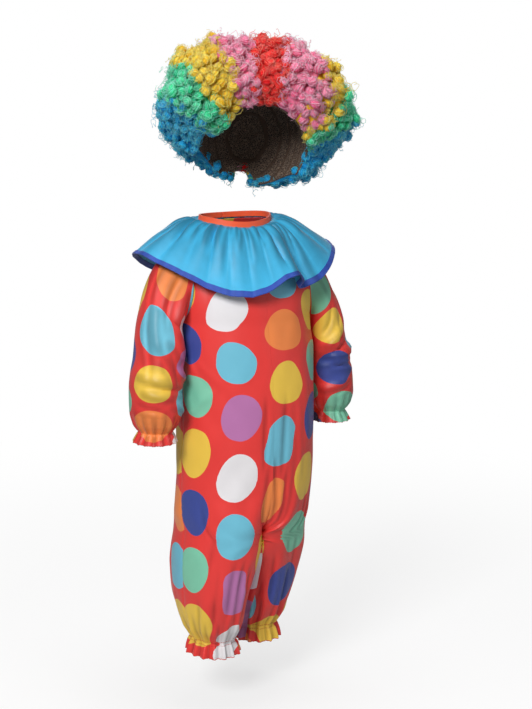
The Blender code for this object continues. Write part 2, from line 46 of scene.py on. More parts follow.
def linear(hexColour):
    # sRGB hex, such as "#ef443b", to the linear colour that Blender's shaders take
    steps = [int(hexColour[i:i + 2], 16) / 255 for i in (1, 3, 5)]
    return tuple(s / 12.92 if s <= 0.04045 else ((s + 0.055) / 1.055) ** 2.4 for s in steps) + (1.0,)


def ease(low, high, value):
    share = np.clip((value - low) / (high - low), 0.0, 1.0)
    return share * share * (3 - 2 * share)


def curveThrough(keys, values):
    # a smooth line through the rows of a table that doesn't overshoot between them
    keys, values = np.array(keys, float), np.array(values, float)
    if keys[0] > keys[-1]:
        keys, values = keys[::-1], values[::-1]
    steps = np.diff(values) / np.diff(keys)
    slopes = np.zeros(len(keys))
    slopes[-1] = steps[-1]
    for i in range(1, len(keys) - 1):
        if steps[i - 1] * steps[i] > 0:
            slopes[i] = 2 * steps[i - 1] * steps[i] / (steps[i - 1] + steps[i])

    def read(at):
        at = np.clip(at, keys[0], keys[-1])
        low = np.clip(np.searchsorted(keys, at, side="right") - 1, 0, len(keys) - 2)
        span = keys[low + 1] - keys[low]
        t = (at - keys[low]) / span
        value = (2 * t**3 - 3 * t**2 + 1) * values[low] + (3 * t**2 - 2 * t**3) * values[low + 1]
        return value + span * ((t**3 - 2 * t**2 + t) * slopes[low] + (t**3 - t**2) * slopes[low + 1])
    return read


def readTable(names, rows):
    # one smooth line for each column, read by name; the first column is the key
    keys = [row[0] for row in rows]
    return {name: curveThrough(keys, [row[i + 1] for row in rows]) for i, name in enumerate(names[1:])}


def unit(vectors):
    return vectors / np.maximum(np.linalg.norm(vectors, axis=-1, keepdims=True), 1e-12)


def bezier(points, share):
    share = share[..., None]
    back = 1 - share
    a, b, c, d = points
    return a * back**3 + b * 3 * back**2 * share + c * 3 * back * share**2 + d * share**3


def wavyNoise(seed, count=5):
    # a smooth random line with period 1, about -1 to 1
    pick = random.Random(seed)
    waves = [(k, pick.uniform(0.4, 1.0) / (1 + 0.25 * k), pick.uniform(0, 2 * math.pi))
             for k in range(1, count + 1)]
    total = sum(size for _, size, _ in waves)
    return lambda at: sum(size * np.sin(2 * math.pi * k * at + phase) for k, size, phase in waves) / total


def foldHeight(across, along, slant, length, width, height):
    # a soft ridge (or, with a negative height, a crease) that fades out at its two ends
    turn = math.radians(slant)
    off = across * math.cos(turn) + along * math.sin(turn)
    run = along * math.cos(turn) - across * math.sin(turn)
    return height * np.exp(-((off / width) ** 2)) * ease(length / 2, length / 6, np.abs(run))


def gridNormals(points, closed=False):
    # unit normals of a grid of points, rows by columns; closed joins the last column to the first
    if closed:
        across = np.roll(points, -1, axis=1) - np.roll(points, 1, axis=1)
    else:
        across = np.gradient(points, axis=1)
    down = np.gradient(points, axis=0)
    return unit(np.cross(across, down))


def arcLengths(points):
    # distance along each row of a grid, from its first column
    steps = np.linalg.norm(np.diff(points, axis=1), axis=2)
    return np.concatenate([np.zeros((len(points), 1)), np.cumsum(steps, axis=1)], axis=1)


def besides(values, reach, closed):
    # the mean of the two neighbours of each value of a grid, down and across
    flat = [(0, 0)] * (values.ndim - 1)
    down = np.pad(values, [(reach, reach)] + flat, mode="edge")
    across = np.pad(values, [flat[0], (reach, reach)] + flat[1:], mode="wrap" if closed else "edge")
    return (down[2 * reach:] + down[:-2 * reach]) / 2, (across[:, 2 * reach:] + across[:, :-2 * reach]) / 2


def hollows(points, normals, closed, upright, reach=2, deep=0.9 * mm):
    # how far each point of a grid lies in a crease, 0 to 1; upright cloth counts only creases down it
    down, across = besides(points, reach, closed)
    rise = (across - points) + (0 if upright else 1) * (down - points)
    hollow = np.clip((rise * normals).sum(axis=-1) / deep, 0, 1)
    for _ in range(2):
        down, across = besides(hollow, 1, closed)
        hollow = hollow / 2 + down / 4 + across / 4
    return hollow


def newPiece(name, mesh, material):
    mesh.materials.append(material)
    piece = bpy.data.objects.new(name, mesh)
    bpy.context.scene.collection.objects.link(piece)
    return piece


def pointValues(mesh, name, values):
    # one number for each point, which the materials read
    layer = mesh.attributes.new(name, "FLOAT", "POINT")
    layer.data.foreach_set("value", np.asarray(values).reshape(-1).astype(np.float32))


def clothPiece(name, points, uv, material, thickness, closed=False, outward=1, upright=False):
    # a sheet through a grid of points, given its thickness on the inside
    rows, columns = points.shape[:2]
    wrap = columns if closed else columns - 1
    index = np.arange(rows * columns).reshape(rows, columns)
    following = np.roll(index, -1, axis=1)[:, :wrap]
    here = index[:, :wrap]
    quads = np.stack([here[:-1], here[1:], following[1:], following[:-1]], axis=-1)
    if outward > 0:
        quads = quads[..., ::-1]
    mesh = bpy.data.meshes.new(name)
    mesh.from_pydata(points.reshape(-1, 3).tolist(), [], quads.reshape(-1, 4).tolist())
    # hollow: how deep each point lies in a crease, which the materials darken as painted shade
    pointValues(mesh, "hollow", hollows(points, gridNormals(points, closed) * outward, closed, upright))
    layer = mesh.uv_layers.new(name="cloth")
    if closed:
        uv = np.concatenate([uv, 2 * uv[:, -1:] - uv[:, -2:-1]], axis=1)
    uvIndex = np.arange(uv.shape[0] * uv.shape[1]).reshape(uv.shape[:2])
    hereUv, followingUv = uvIndex[:, :wrap], uvIndex[:, 1:wrap + 1]
    corners = np.stack([hereUv[:-1], hereUv[1:], followingUv[1:], followingUv[:-1]], axis=-1)
    if outward > 0:
        corners = corners[..., ::-1]
    layer.data.foreach_set("uv", uv.reshape(-1, 2)[corners.reshape(-1)].reshape(-1).astype(np.float32))
    piece = newPiece(name, mesh, material)
    bpy.context.view_layer.objects.active = piece
    piece.select_set(True)
    wall = piece.modifiers.new("wall", "SOLIDIFY")
    wall.thickness = thickness
    wall.offset = -1
    wall.use_rim = True
    bpy.ops.object.modifier_apply(modifier=wall.name)
    bpy.ops.object.shade_smooth_by_angle(angle=math.radians(60))
    piece.select_set(False)
    return piece


def tubePiece(name, lines, radius, sides, material, closed=False, shade=None):
    # round threads along many lines of equal length, joined into one mesh; shade is a value for each line
    lines = np.asarray(lines, float)
    count, steps = lines.shape[:2]
    if closed:
        tangent = unit(np.roll(lines, -1, axis=1) - np.roll(lines, 1, axis=1))
    else:
        tangent = unit(np.gradient(lines, axis=1))
    middle = lines.mean(axis=1, keepdims=True)
    spoke = lines - middle + np.array([0.0, 0.0, 1e-6])
    first = unit(spoke - tangent * np.sum(spoke * tangent, axis=-1, keepdims=True))
    second = np.cross(tangent, first)
    angles = 2 * math.pi * np.arange(sides) / sides
    radius = np.broadcast_to(np.asarray(radius, float), (count, steps))[..., None, None]
    ring = first[:, :, None] * np.cos(angles)[:, None] + second[:, :, None] * np.sin(angles)[:, None]
    vertices = (lines[:, :, None] + ring * radius).reshape(-1, 3)
    index = np.arange(count * steps * sides).reshape(count, steps, sides)
    ahead = np.roll(index, -1, axis=1)
    if not closed:
        index, ahead = index[:, :-1], ahead[:, :-1]
    turned, aheadTurned = np.roll(index, -1, axis=2), np.roll(ahead, -1, axis=2)
    faces = np.stack([index, turned, aheadTurned, ahead], axis=-1).reshape(-1, 4).tolist()
    if not closed:
        whole = np.arange(count * steps * sides).reshape(count, steps, sides)
        faces += whole[:, 0, ::-1].tolist() + whole[:, -1].tolist()
    mesh = bpy.data.meshes.new(name)
    mesh.from_pydata(vertices.tolist(), [], faces)
    if shade is not None:
        values = np.broadcast_to(np.asarray(shade, np.float32), (count, steps))
        pointValues(mesh, "shade", np.repeat(values.reshape(-1), sides))
    mesh.shade_smooth()
    return newPiece(name, mesh, material)


def finish(piece, replaced=()):
    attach(piece, "root")
    if replaced:
        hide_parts(*replaced)


def newMaterial(name, look):
    # look is what the shader's own sockets are set to
    made = bpy.data.materials.new(name)
    made.use_nodes = True
    shader = made.node_tree.nodes["Principled BSDF"]
    for socket, value in look.items():
        shader.inputs[socket].default_value = value
    return made, shader


def plug(material, node, socket, value):
    # value is a number, a colour, a node (its first output) or a (node, output) pair
    if hasattr(value, "outputs"):
        value = (value, 0)
    if isinstance(value, tuple) and hasattr(value[0], "outputs"):
        material.node_tree.links.new(value[0].outputs[value[1]], node.inputs[socket])
    else:
        node.inputs[socket].default_value = value


def addNode(material, kind, *first, **others):
    # adds a node; first are its inputs in their order, and others are its settings and more inputs,
    # which go by name, or by number as in6
    node = material.node_tree.nodes.new("ShaderNode" + kind)
    for key in [key for key in others if hasattr(node, key)]:
        setattr(node, key, others.pop(key))
    for socket, value in enumerate(first):
        plug(material, node, socket, value)
    for key, value in others.items():
        plug(material, node, int(key[2:]) if key[2:].isdigit() else key, value)
    return node


def clothCoordinates(material):
    # place on the flat cloth in metres: across and down
    uv = addNode(material, "UVMap", uv_map="cloth")
    split = addNode(material, "SeparateXYZ", uv)
    return uv, (split, 0), (split, 1)


def clothRelief(material, shader, uv, across, down, weave):
    # twill threads on a slant over a soft crumple
    slant = addNode(material, "Math", across, down, operation="ADD")
    slant = addNode(material, "Math", slant, 2 * math.pi / weave["thread"], operation="MULTIPLY")
    twill = addNode(material, "Math", slant, operation="SINE")
    noise = addNode(material, "TexNoise", Vector=uv, Scale=1 / weave["crumple"], Detail=3.0)
    crumple = addNode(material, "Math", noise, 0.9, operation="MULTIPLY")
    height = addNode(material, "Math", twill, 0.10, crumple, operation="MULTIPLY_ADD")
    bump = addNode(material, "Bump", Strength=1.0, Distance=weave["depth"], Height=height)
    plug(material, shader, "Normal", bump)
    return noise


def paintedCreaseShade(material, shade, dark):
    # painted shade: darkens the colour where the cloth lies in a crease, as real creases keep some light out
    hollow = addNode(material, "Attribute", attribute_name="hollow")
    kept = addNode(material, "Math", (hollow, "Fac"), -dark, 1.0, operation="MULTIPLY_ADD")
    return addNode(material, "Math", shade, kept, operation="MULTIPLY")


# the jumpsuit's cut and hang, level by level
suit = {
    "wall": 0.8 * mm,
    "neckHalfWidth": 52 * mm, "neckFrontDepth": 46 * mm, "neckBackDepth": 40 * mm,
    "neckFrontDrop": 7 * mm, "neckBackDrop": 2 * mm, "neckShare": 0.58,
    "shoulderTip": (97 * mm, -8 * mm, -31 * mm),
    "armpit": -130 * mm, "crotch": -437 * mm, "ankleElastic": -600 * mm, "hem": -621 * mm,
    "hipSway": 4 * mm, "ankleSway": -3 * mm, "stride": 18 * mm,
    "ankleGathers": 15, "cuffGathers": 15,
    "yokeRows": 26, "bodyRows": 118, "frillRows": 34, "panelColumns": 72,
    "seamDip": 0.9 * mm, "seamWidth": 2.6 * mm, "pucker": 0.35, "puckerLength": 11 * mm,
    "gatherHeight": 3.2 * mm, "frillHeight": 0.4 * mm, "channel": 1.2 * mm,
    "armholeIn": {leftSide: 0.10, rightSide: 0.23},    # more on the right, where the arm hangs forward
}
bodyLevel = readTable(("z", "legX", "halfWidth", "halfDepth", "centreY"), (
    (-0.1300, 0.0000, 0.0985, 0.0760, -0.024),
    (-0.1900, 0.0000, 0.0990, 0.0820, -0.026),
    (-0.2600, 0.0000, 0.0995, 0.0860, -0.025),
    (-0.3300, 0.0000, 0.1000, 0.0870, -0.022),
    (-0.3800, 0.0125, 0.0885, 0.0840, -0.018),
    (-0.4120, 0.0325, 0.0685, 0.0800, -0.013),
    (-0.4370, 0.0487, 0.0485, 0.0770, -0.009),
    (-0.4700, 0.0505, 0.0500, 0.0745, -0.004),
    (-0.5100, 0.0495, 0.0490, 0.0700, 0.000),
    (-0.5500, 0.0470, 0.0455, 0.0615, 0.001),
    (-0.5780, 0.0450, 0.0400, 0.0510, 0.001),
    (-0.6000, 0.0430, 0.0315, 0.0390, 0.001),
    (-0.6210, 0.0430, 0.0360, 0.0430, 0.001),
))
# how far each inseam and the right side seam come round to the front, in radians, and how full the
# cloth hangs there
inseam = readTable(("z", "left", "right", "rightSide", "fullX", "fullY"), (
    (-0.1300, 0.00, 0.00, 0.00, 0.000, 0.000),
    (-0.3300, 0.00, 0.00, 0.00, 0.000, 0.000),
    (-0.3800, 0.00, 0.00, 0.00, 0.000, 0.003),
    (-0.4120, 0.00, 0.00, 0.04, 0.002, 0.008),
    (-0.4371, 0.00, 0.00, 0.10, 0.012, 0.014),
    (-0.4550, 0.86, 0.62, 0.13, 0.015, 0.016),
    (-0.4900, 0.93, 0.66, 0.16, 0.009, 0.012),
    (-0.5400, 0.88, 0.62, 0.15, 0.001, 0.004),
    (-0.6000, 0.66, 0.44, 0.08, 0.000, 0.000),
    (-0.6210, 0.62, 0.40, 0.06, 0.000, 0.000),
))
yokeHandle = readTable(("u", "lowX", "lowY", "lowZ", "highX", "highY", "highZ"), (
    (0.00, 0.000, 0.001, 0.045, 0.000, 0.024, -0.030),
    (0.29, 0.000, 0.004, 0.046, 0.012, 0.028, -0.024),
    (0.58, -0.002, 0.010, 0.050, 0.020, 0.032, -0.014),
    (1.00, -0.003, 0.030, 0.016, 0.002, 0.036, -0.012),
))
sleeveLevel = readTable(("along", "underX", "underZ", "outerX", "outerZ", "halfFront", "y"), (
    (0.30, 0.1045, -0.1440, 0.1445, -0.0990, 0.0365, -0.020),
    (0.40, 0.1045, -0.1580, 0.1555, -0.1330, 0.0380, -0.024),
    (0.55, 0.1040, -0.1860, 0.1650, -0.1770, 0.0400, -0.028),
    (0.70, 0.1045, -0.2230, 0.1735, -0.2190, 0.0400, -0.029),
    (0.82, 0.1055, -0.2500, 0.1750, -0.2490, 0.0380, -0.030),
    (0.90, 0.1110, -0.2680, 0.1700, -0.2680, 0.0320, -0.030),
    (0.95, 0.1185, -0.2805, 0.1635, -0.2805, 0.0250, -0.030),
    (1.00, 0.1135, -0.2950, 0.1705, -0.2950, 0.0315, -0.030),
))
sleeve = {"cap": 0.30, "spread": 5 * mm, "swing": 5 * mm, "rows": 96, "columns": 96, "length": 300 * mm,
          "elastic": 0.95, "capRows": 20, "frillRows": 32, "frillFrom": 0.84,
          "gatherHeight": 2.4 * mm, "frillLoss": 0.6 * mm, "channel": 1.2 * mm}

# folds: side (1 left, -1 right, 0 both), around, along, slant, length, width, height
# body: around is 0 at the centre front, 0.5 at the side seam and 1 at the centre back; along is z
bodyFolds = (
    (-1, 0.20, -0.545, 3, 0.120, 0.012, 0.0035),
    (-1, 0.36, -0.560, -3, 0.100, 0.011, 0.0030),
    (-1, 0.10, -0.420, 10, 0.110, 0.012, 0.0032),
    (1, 0.12, -0.430, -6, 0.150, 0.011, 0.0040),
    (1, 0.22, -0.520, -4, 0.160, 0.012, 0.0045),
    (1, 0.36, -0.500, 2, 0.150, 0.012, 0.0035),
    (1, 0.20, -0.260, 5, 0.160, 0.014, 0.0025),
    (1, 0.42, -0.200, 12, 0.120, 0.013, 0.0030),
    (-1, 0.38, -0.215, -22, 0.090, 0.013, 0.0028),
    (-1, 0.62, -0.520, 3, 0.150, 0.012, 0.0035),
    (-1, 0.80, -0.540, -4, 0.130, 0.012, 0.0035),
    (1, 0.64, -0.530, -3, 0.150, 0.012, 0.0035),
    (1, 0.82, -0.500, 4, 0.150, 0.012, 0.0040),
    (0, 0.86, -0.330, 8, 0.150, 0.015, 0.0030),
    (0, 0.66, -0.250, -8, 0.140, 0.015, 0.0025),
)
# finer folds and creases that only the eye needs
bodyCreases = (
    (1, 0.024, -0.375, 4, 0.130, 0.0040, -0.0042),
    (1, 0.072, -0.385, -2, 0.120, 0.0040, -0.0030),
    (-1, 0.035, -0.380, 4, 0.140, 0.0045, -0.0030),
    (1, 0.055, -0.300, -3, 0.160, 0.0045, -0.0026),
    (-1, 0.042, -0.290, 1, 0.130, 0.0035, -0.0026),
    (-1, 0.262, -0.515, 0, 0.110, 0.0050, -0.0030),
    (-1, 0.300, -0.520, 1, 0.120, 0.0050, 0.0018),
    (-1, 0.222, -0.520, -1, 0.130, 0.0045, -0.0036),
    (-1, 0.180, -0.530, -3, 0.120, 0.0040, -0.0028),
    (-1, 0.330, -0.560, 2, 0.090, 0.0040, -0.0024),
    (-1, 0.400, -0.565, 3, 0.080, 0.0040, -0.0022),
    (-1, 0.350, -0.440, 2, 0.150, 0.0060, -0.0016),
    (1, 0.205, -0.520, 3, 0.110, 0.0045, -0.0034),
    (1, 0.262, -0.530, 4, 0.120, 0.0045, 0.0024),
    (1, 0.290, -0.540, 3, 0.110, 0.0040, -0.0032),
    (1, 0.250, -0.430, 4, 0.120, 0.0045, -0.0026),
    (1, 0.310, -0.440, 2, 0.110, 0.0045, 0.0020),
    (1, 0.145, -0.570, 0, 0.080, 0.0035, -0.0028),
    (1, 0.175, -0.575, 2, 0.070, 0.0032, -0.0026),
    (1, 0.100, -0.400, -5, 0.170, 0.0050, -0.0022),
    (1, 0.150, -0.300, 4, 0.180, 0.0060, 0.0016),
    (-1, 0.030, -0.330, 4, 0.150, 0.0050, 0.0014),
    (-1, 0.070, -0.560, 5, 0.120, 0.0050, -0.0030),
    (-1, 0.120, -0.585, 2, 0.080, 0.0040, -0.0022),
    (-1, 0.250, -0.575, -4, 0.090, 0.0050, 0.0018),
    (-1, 0.280, -0.500, 3, 0.160, 0.0060, 0.0014),
    (-1, 0.420, -0.180, -35, 0.070, 0.0050, 0.0020),
    (-1, 0.370, -0.245, 52, 0.090, 0.0050, 0.0016),
    (-1, 0.300, -0.200, -48, 0.080, 0.0060, 0.0012),
    (1, 0.300, -0.450, 3, 0.180, 0.0050, -0.0020),
    (1, 0.380, -0.560, -2, 0.110, 0.0045, -0.0022),
    (1, 0.160, -0.560, 2, 0.110, 0.0045, -0.0025),
    (0, 0.560, -0.560, 3, 0.110, 0.0050, 0.0018),
    (0, 0.720, -0.420, -6, 0.160, 0.0060, -0.0016),
    (0, 0.900, -0.470, 5, 0.150, 0.0055, -0.0020),
    (0, 0.930, -0.240, 4, 0.180, 0.0070, 0.0014),
    (0, 0.780, -0.190, 30, 0.110, 0.0060, 0.0014),
)
# sleeves: around is 0 under the arm, 0.25 in front, 0.5 outside; along is 0 to 1 down the sleeve
sleeveFolds = (
    (-1, 0.12, 0.36, 4, 0.150, 0.0200, 0.0065),
    (-1, 0.17, 0.17, 40, 0.060, 0.0060, 0.0040),
    (-1, 0.24, 0.27, 52, 0.060, 0.0055, 0.0038),
    (-1, 0.33, 0.64, 82, 0.075, 0.0070, 0.0032),
    (1, 0.24, 0.50, 60, 0.070, 0.0060, 0.0055),
    (1, 0.30, 0.60, 84, 0.075, 0.0060, 0.0060),
    (1, 0.22, 0.56, 68, 0.060, 0.0075, 0.0050),
    (1, 0.28, 0.66, -62, 0.060, 0.0075, 0.0045),
    (1, 0.50, 0.58, 75, 0.050, 0.0080, 0.0050),
    (1, 0.20, 0.78, 70, 0.060, 0.0075, 0.0045),
    (1, 0.42, 0.40, 20, 0.060, 0.0080, 0.0030),
    (-1, 0.10, 0.62, 66, 0.055, 0.0075, 0.0050),
    (-1, 0.30, 0.72, 80, 0.065, 0.0080, 0.0045),
    (-1, 0.16, 0.80, 60, 0.055, 0.0075, 0.0045),
    (-1, 0.36, 0.40, 15, 0.080, 0.0090, 0.0035),
    (-1, 0.22, 0.48, 35, 0.060, 0.0080, 0.0035),
    (0, 0.78, 0.62, 70, 0.060, 0.0080, 0.0045),
    (0, 0.70, 0.76, -65, 0.055, 0.0080, 0.0040),
)
sleeveCreases = (
    (-1, 0.20, 0.22, 48, 0.070, 0.0035, -0.0034),
    (-1, 0.27, 0.68, 84, 0.080, 0.0040, -0.0030),
    (-1, 0.20, 0.56, 20, 0.090, 0.0040, -0.0030),
    (-1, 0.44, 0.36, 6, 0.120, 0.0050, -0.0020),
    (1, 0.26, 0.56, 74, 0.070, 0.0035, -0.0048),
    (1, 0.30, 0.66, 94, 0.070, 0.0035, -0.0042),
    (1, 0.22, 0.40, 40, 0.060, 0.0040, -0.0028),
    (-1, 0.30, 0.24, 8, 0.090, 0.0045, -0.0022),
    (-1, 0.40, 0.52, 12, 0.110, 0.0045, -0.0020),
    (-1, 0.25, 0.60, 30, 0.070, 0.0040, -0.0022),
    (-1, 0.14, 0.70, 75, 0.050, 0.0035, -0.0028),
    (-1, 0.36, 0.80, 78, 0.050, 0.0040, -0.0020),
    (1, 0.20, 0.62, 84, 0.060, 0.0035, -0.0032),
    (1, 0.30, 0.48, 20, 0.080, 0.0045, -0.0022),
    (1, 0.28, 0.80, 60, 0.050, 0.0040, -0.0022),
    (0, 0.62, 0.45, 12, 0.100, 0.0050, -0.0018),
    (0, 0.85, 0.55, 60, 0.060, 0.0045, 0.0018),
)


def foldsOver(table, side, around, along, perimeter, wraps=False):
    lift = np.zeros(np.broadcast(around, along).shape)
    for foldSide, foldAround, foldAlong, slant, length, width, height in table:
        if foldSide in (0, side):
            off = around - foldAround
            off = (off + 0.5) % 1.0 - 0.5 if wraps else off
            lift += foldHeight(off * perimeter, along - foldAlong, slant, length, width, height)
    return lift


def crumpleOver(across, along, seed, size):
    # long shallow unevenness of a thin cloth, in metres
    pick = random.Random(seed)
    lift = np.zeros(np.broadcast(across, along).shape)
    for _ in range(9):
        turn, wave = pick.uniform(-1.2, 1.2), pick.uniform(0.035, 0.10)
        phase = pick.uniform(0, 6.3)
        lift += np.sin((across * math.cos(turn) + along * math.sin(turn)) * 2 * math.pi / wave + phase)
    return lift * size / 3


gatherNoise = {side: wavyNoise(20 + side, 7) for side in (leftSide, rightSide)}


def swayAt(z):
    hips = suit["hipSway"] * ease(suit["armpit"], suit["armpit"] - 0.12, z)
    legs = ease(suit["crotch"] + 0.06, suit["crotch"] - 0.12, z)
    return hips + (suit["ankleSway"] - suit["hipSway"]) * legs


def ringPoint(side, around, z):
    # outer face of the cloth below the armpit, all round one half of the body and then one leg
    around, z = np.broadcast_arrays(np.asarray(around, float), np.asarray(z, float))
    legX, width, depth = bodyLevel["legX"](z), bodyLevel["halfWidth"](z), bodyLevel["halfDepth"](z)
    start = np.arccos(np.minimum(1.0, legX / width))
    perimeter = (width + depth) * (math.pi - start)
    shift = inseam["left" if side > 0 else "right"](z)
    shift = np.where(z < suit["crotch"], shift, 0.0)
    sideSeam = math.pi - (inseam["rightSide"](z) if side < 0 else 0.0)
    turn = np.where(around <= 0.5, start + shift + (sideSeam - start - shift) * 2 * around,
                    sideSeam + (2 * math.pi - start + shift - sideSeam) * (2 * around - 1))
    # the gathers and folds stay where they are, wherever the seams run
    place = (turn - start) / (2 * math.pi - 2 * start)
    place = np.where(place > 1, place - 1, place)
    elastic, hem = suit["ankleElastic"], suit["hem"]
    jitter = 0.9 * gatherNoise[side](place)
    wave = np.cos(2 * math.pi * suit["ankleGathers"] * place + jitter)
    wave = 0.75 * wave + 0.25 * np.cos(2 * math.pi * 2 * suit["ankleGathers"] * place + 3 * jitter + 1)
    rise = suit["gatherHeight"] * ease(elastic + 0.055, elastic + 0.006, z)
    rise = rise + suit["frillHeight"] * ease(elastic + 0.002, hem, z)
    lift = wave * rise * (1 - 0.5 * np.exp(-(((z - elastic) / 0.004) ** 2)))
    lift = lift - suit["channel"] * np.exp(-(((z - elastic) / 0.0035) ** 2))
    for table in (bodyFolds, bodyCreases):
        lift = lift + foldsOver(table, side, place, z, perimeter)
    inner = ease(0, 0.05, around) * ease(0, 0.05, 1 - around)
    lift = lift + crumpleOver(side * around * 0.4, z, 5 + side, 0.5 * mm) * inner
    away = np.stack([-np.cos(turn) * depth, -np.sin(turn) * width, np.zeros_like(z)], axis=-1)
    centreY = bodyLevel["centreY"](z)
    point = np.stack([legX - width * np.cos(turn), centreY - depth * np.sin(turn), z], axis=-1)
    point = point + unit(away) * lift[..., None]
    inside = ease(0.078, 0.012, point[..., 0]) * ease(-0.05, 0.55, np.sin(turn))
    point[..., 0] -= inseam["fullX"](z) * inside
    point[..., 1] -= inseam["fullY"](z) * inside
    x = np.maximum(point[..., 0], 0.0)
    outer = np.minimum(x / 0.05, 1.0)
    stride = suit["stride"] * ease(suit["crotch"] + 0.11 * outer, suit["crotch"] - 0.10, z)
    return np.stack([side * (x + 0.08 * mm) + swayAt(z), point[..., 1] + side * stride, z], axis=-1)


def armholeShare(side, rise):
    # the front's armhole curves in towards the chest
    return 1 - suit["armholeIn"][side] * np.sin(math.pi * np.clip(rise, 0, 1)) ** 0.8


def neckline(turn):
    front = np.cos(turn) > 0
    depth = np.where(front, suit["neckFrontDepth"], suit["neckBackDepth"])
    drop = np.where(front, suit["neckFrontDrop"], suit["neckBackDrop"])
    x, y, z = suit["neckHalfWidth"] * np.sin(turn), -depth * np.cos(turn), -drop * np.cos(turn) ** 2
    return np.stack([x, y, z], axis=-1)


def yokePoint(side, back, u, rise):
    # cloth above the armpit, from the centre line (u 0) to the armhole (1) and up to the shoulder (rise 1)
    u, rise = np.broadcast_arrays(np.asarray(u, float), np.asarray(rise, float))
    facing = 1 if back else -1
    base = ringPoint(side, 1 - u / 2 if back else u / 2, np.full(u.shape, suit["armpit"]))
    base[..., 0] *= side
    share = suit["neckShare"]
    quarter = np.minimum(u / share, 1.0) * math.pi / 2
    top = neckline(math.pi - quarter if back else quarter)
    top[..., 0] += 0.1 * mm * (u <= share)
    tip = np.array(suit["shoulderTip"])
    onward = np.clip((u - share) / (1 - share), 0, 1)[..., None]
    top = top + (tip - neckline(np.array(math.pi / 2))) * onward
    handle = {key: line(u) for key, line in yokeHandle.items()}
    low = base + np.stack([handle["lowX"], facing * handle["lowY"], handle["lowZ"]], axis=-1)
    high = top + np.stack([handle["highX"], facing * handle["highY"], handle["highZ"]], axis=-1)
    point = bezier((base, low, high, top), rise)
    point[..., 0] *= side
    return point


# the printed cloth: where its columns and rows of dots run over the suit
printed = {
    "columnGap": 66 * mm, "rowGap": 76 * mm, "dotRadius": 30.3 * mm, "takenIn": 0.94, "pulled": 0.18,
    "edge": 0.35 * mm, "wobble": 0.35 * mm,
    # down each column, in turn; the columns follow each other as D A B C across the cloth
    "columns": (("yellow", "blue", "mint"), ("white", "sky", "violet"),
                ("sky", "orange", "yellow"), ("yellow", "mint", "blue")),
    "firstColumn": -99 * mm, "legZ": -470 * mm,
    # where the print lies on the backs: its shift from the side seam or inseam, and its first row
    "backRight": (18 * mm, 547 * mm), "backLeft": (12 * mm, 368 * mm),
    "colours": {"red": "#ee3f3b", "white": "#efecee", "sky": "#74c4dc", "violet": "#bf78b0",
                "orange": "#fd8f4a", "yellow": "#f6cc4e", "mint": "#84d0b0", "blue": "#3f4f9c"},
    "sideDroop": 13 * mm,    # the print's rows hang lower at the sides
}
# how far round from the side seam the front's print columns lie, on the right (D, A) and left (C, B)
frontColumns = readTable(("z", "rightD", "rightA", "leftB", "leftC"), (
    (-0.040, -0.018, 0.060, 0.084, 0.032),
    (-0.066, -0.012, 0.064, 0.090, 0.035),
    (-0.130, 0.006, 0.0765, 0.109, 0.040),
    (-0.200, 0.026, 0.0965, 0.120, 0.046),
    (-0.260, 0.0335, 0.0994, 0.129, 0.060),
    (-0.300, 0.028, 0.098, 0.137, 0.071),
    (-0.347, 0.0275, 0.0955, 0.145, 0.080),
    (-0.385, 0.027, 0.093, 0.152, 0.088),
    (-0.430, 0.026, 0.0914, 0.170, 0.096),
    (-0.480, 0.022, 0.090, 0.179, 0.096),
    (-0.530, 0.0225, 0.089, 0.160, 0.089),
    (-0.570, 0.021, 0.086, 0.145, 0.079),
    (-0.600, 0.018, 0.076, 0.134, 0.069),
))
# dots that narrow folds take the rims of: column, row, how far they lean and what shows either side
pinchedDots = (
    (33 * mm, 266 * mm, 0.20, 14 * mm), (33 * mm, 190 * mm, 0.00, 24 * mm),
    (-33 * mm, 380 * mm, 0.05, 17 * mm),
)
# how far down the cloth each level lies, as the hang takes up some of it
clothDown = readTable(("z", "down"), (
    (-0.0300, -0.082), (-0.1115, 0.000), (-0.1827, 0.076), (-0.2580, 0.152), (-0.3466, 0.228),
    (-0.4297, 0.304), (-0.5135, 0.380), (-0.6025, 0.456), (-0.6300, 0.482),
))["down"]


def pastColumn(off, gap, widths=(1, 1)):
    # cloth from one column of dots to the next, a gap away: the dots keep their width, and the plain
    # cloth between them gives
    dot, whole = printed["dotRadius"], printed["columnGap"]
    first, last = (dot * printed["takenIn"] * width for width in widths)
    gap = np.maximum(gap, first + last + 1 * mm)
    middle = dot + (off - first) * (whole - 2 * dot) / (gap - first - last)
    ending = whole - (gap - off) * dot / last
    return np.where(off < first, off * dot / first, np.where(off > gap - last, ending, middle))


def backPrint(side, z, arc, fromSide):
    inner, down = printed["columnGap"] / 2, clothDown(z)
    if side < 0:
        shift, firstRow = printed["backRight"]
        return np.stack([inner + (fromSide - shift), firstRow - down], axis=-1)
    # the left leg's dots lie a set way from the inseam, and those above follow on from the side seam
    shift, firstRow = printed["backLeft"]
    width = np.interp(-np.minimum(z, printed["legZ"]), -z.mean(axis=1), arc[:, -1])
    return np.stack([-inner - (width - fromSide - shift), firstRow - down], axis=-1)


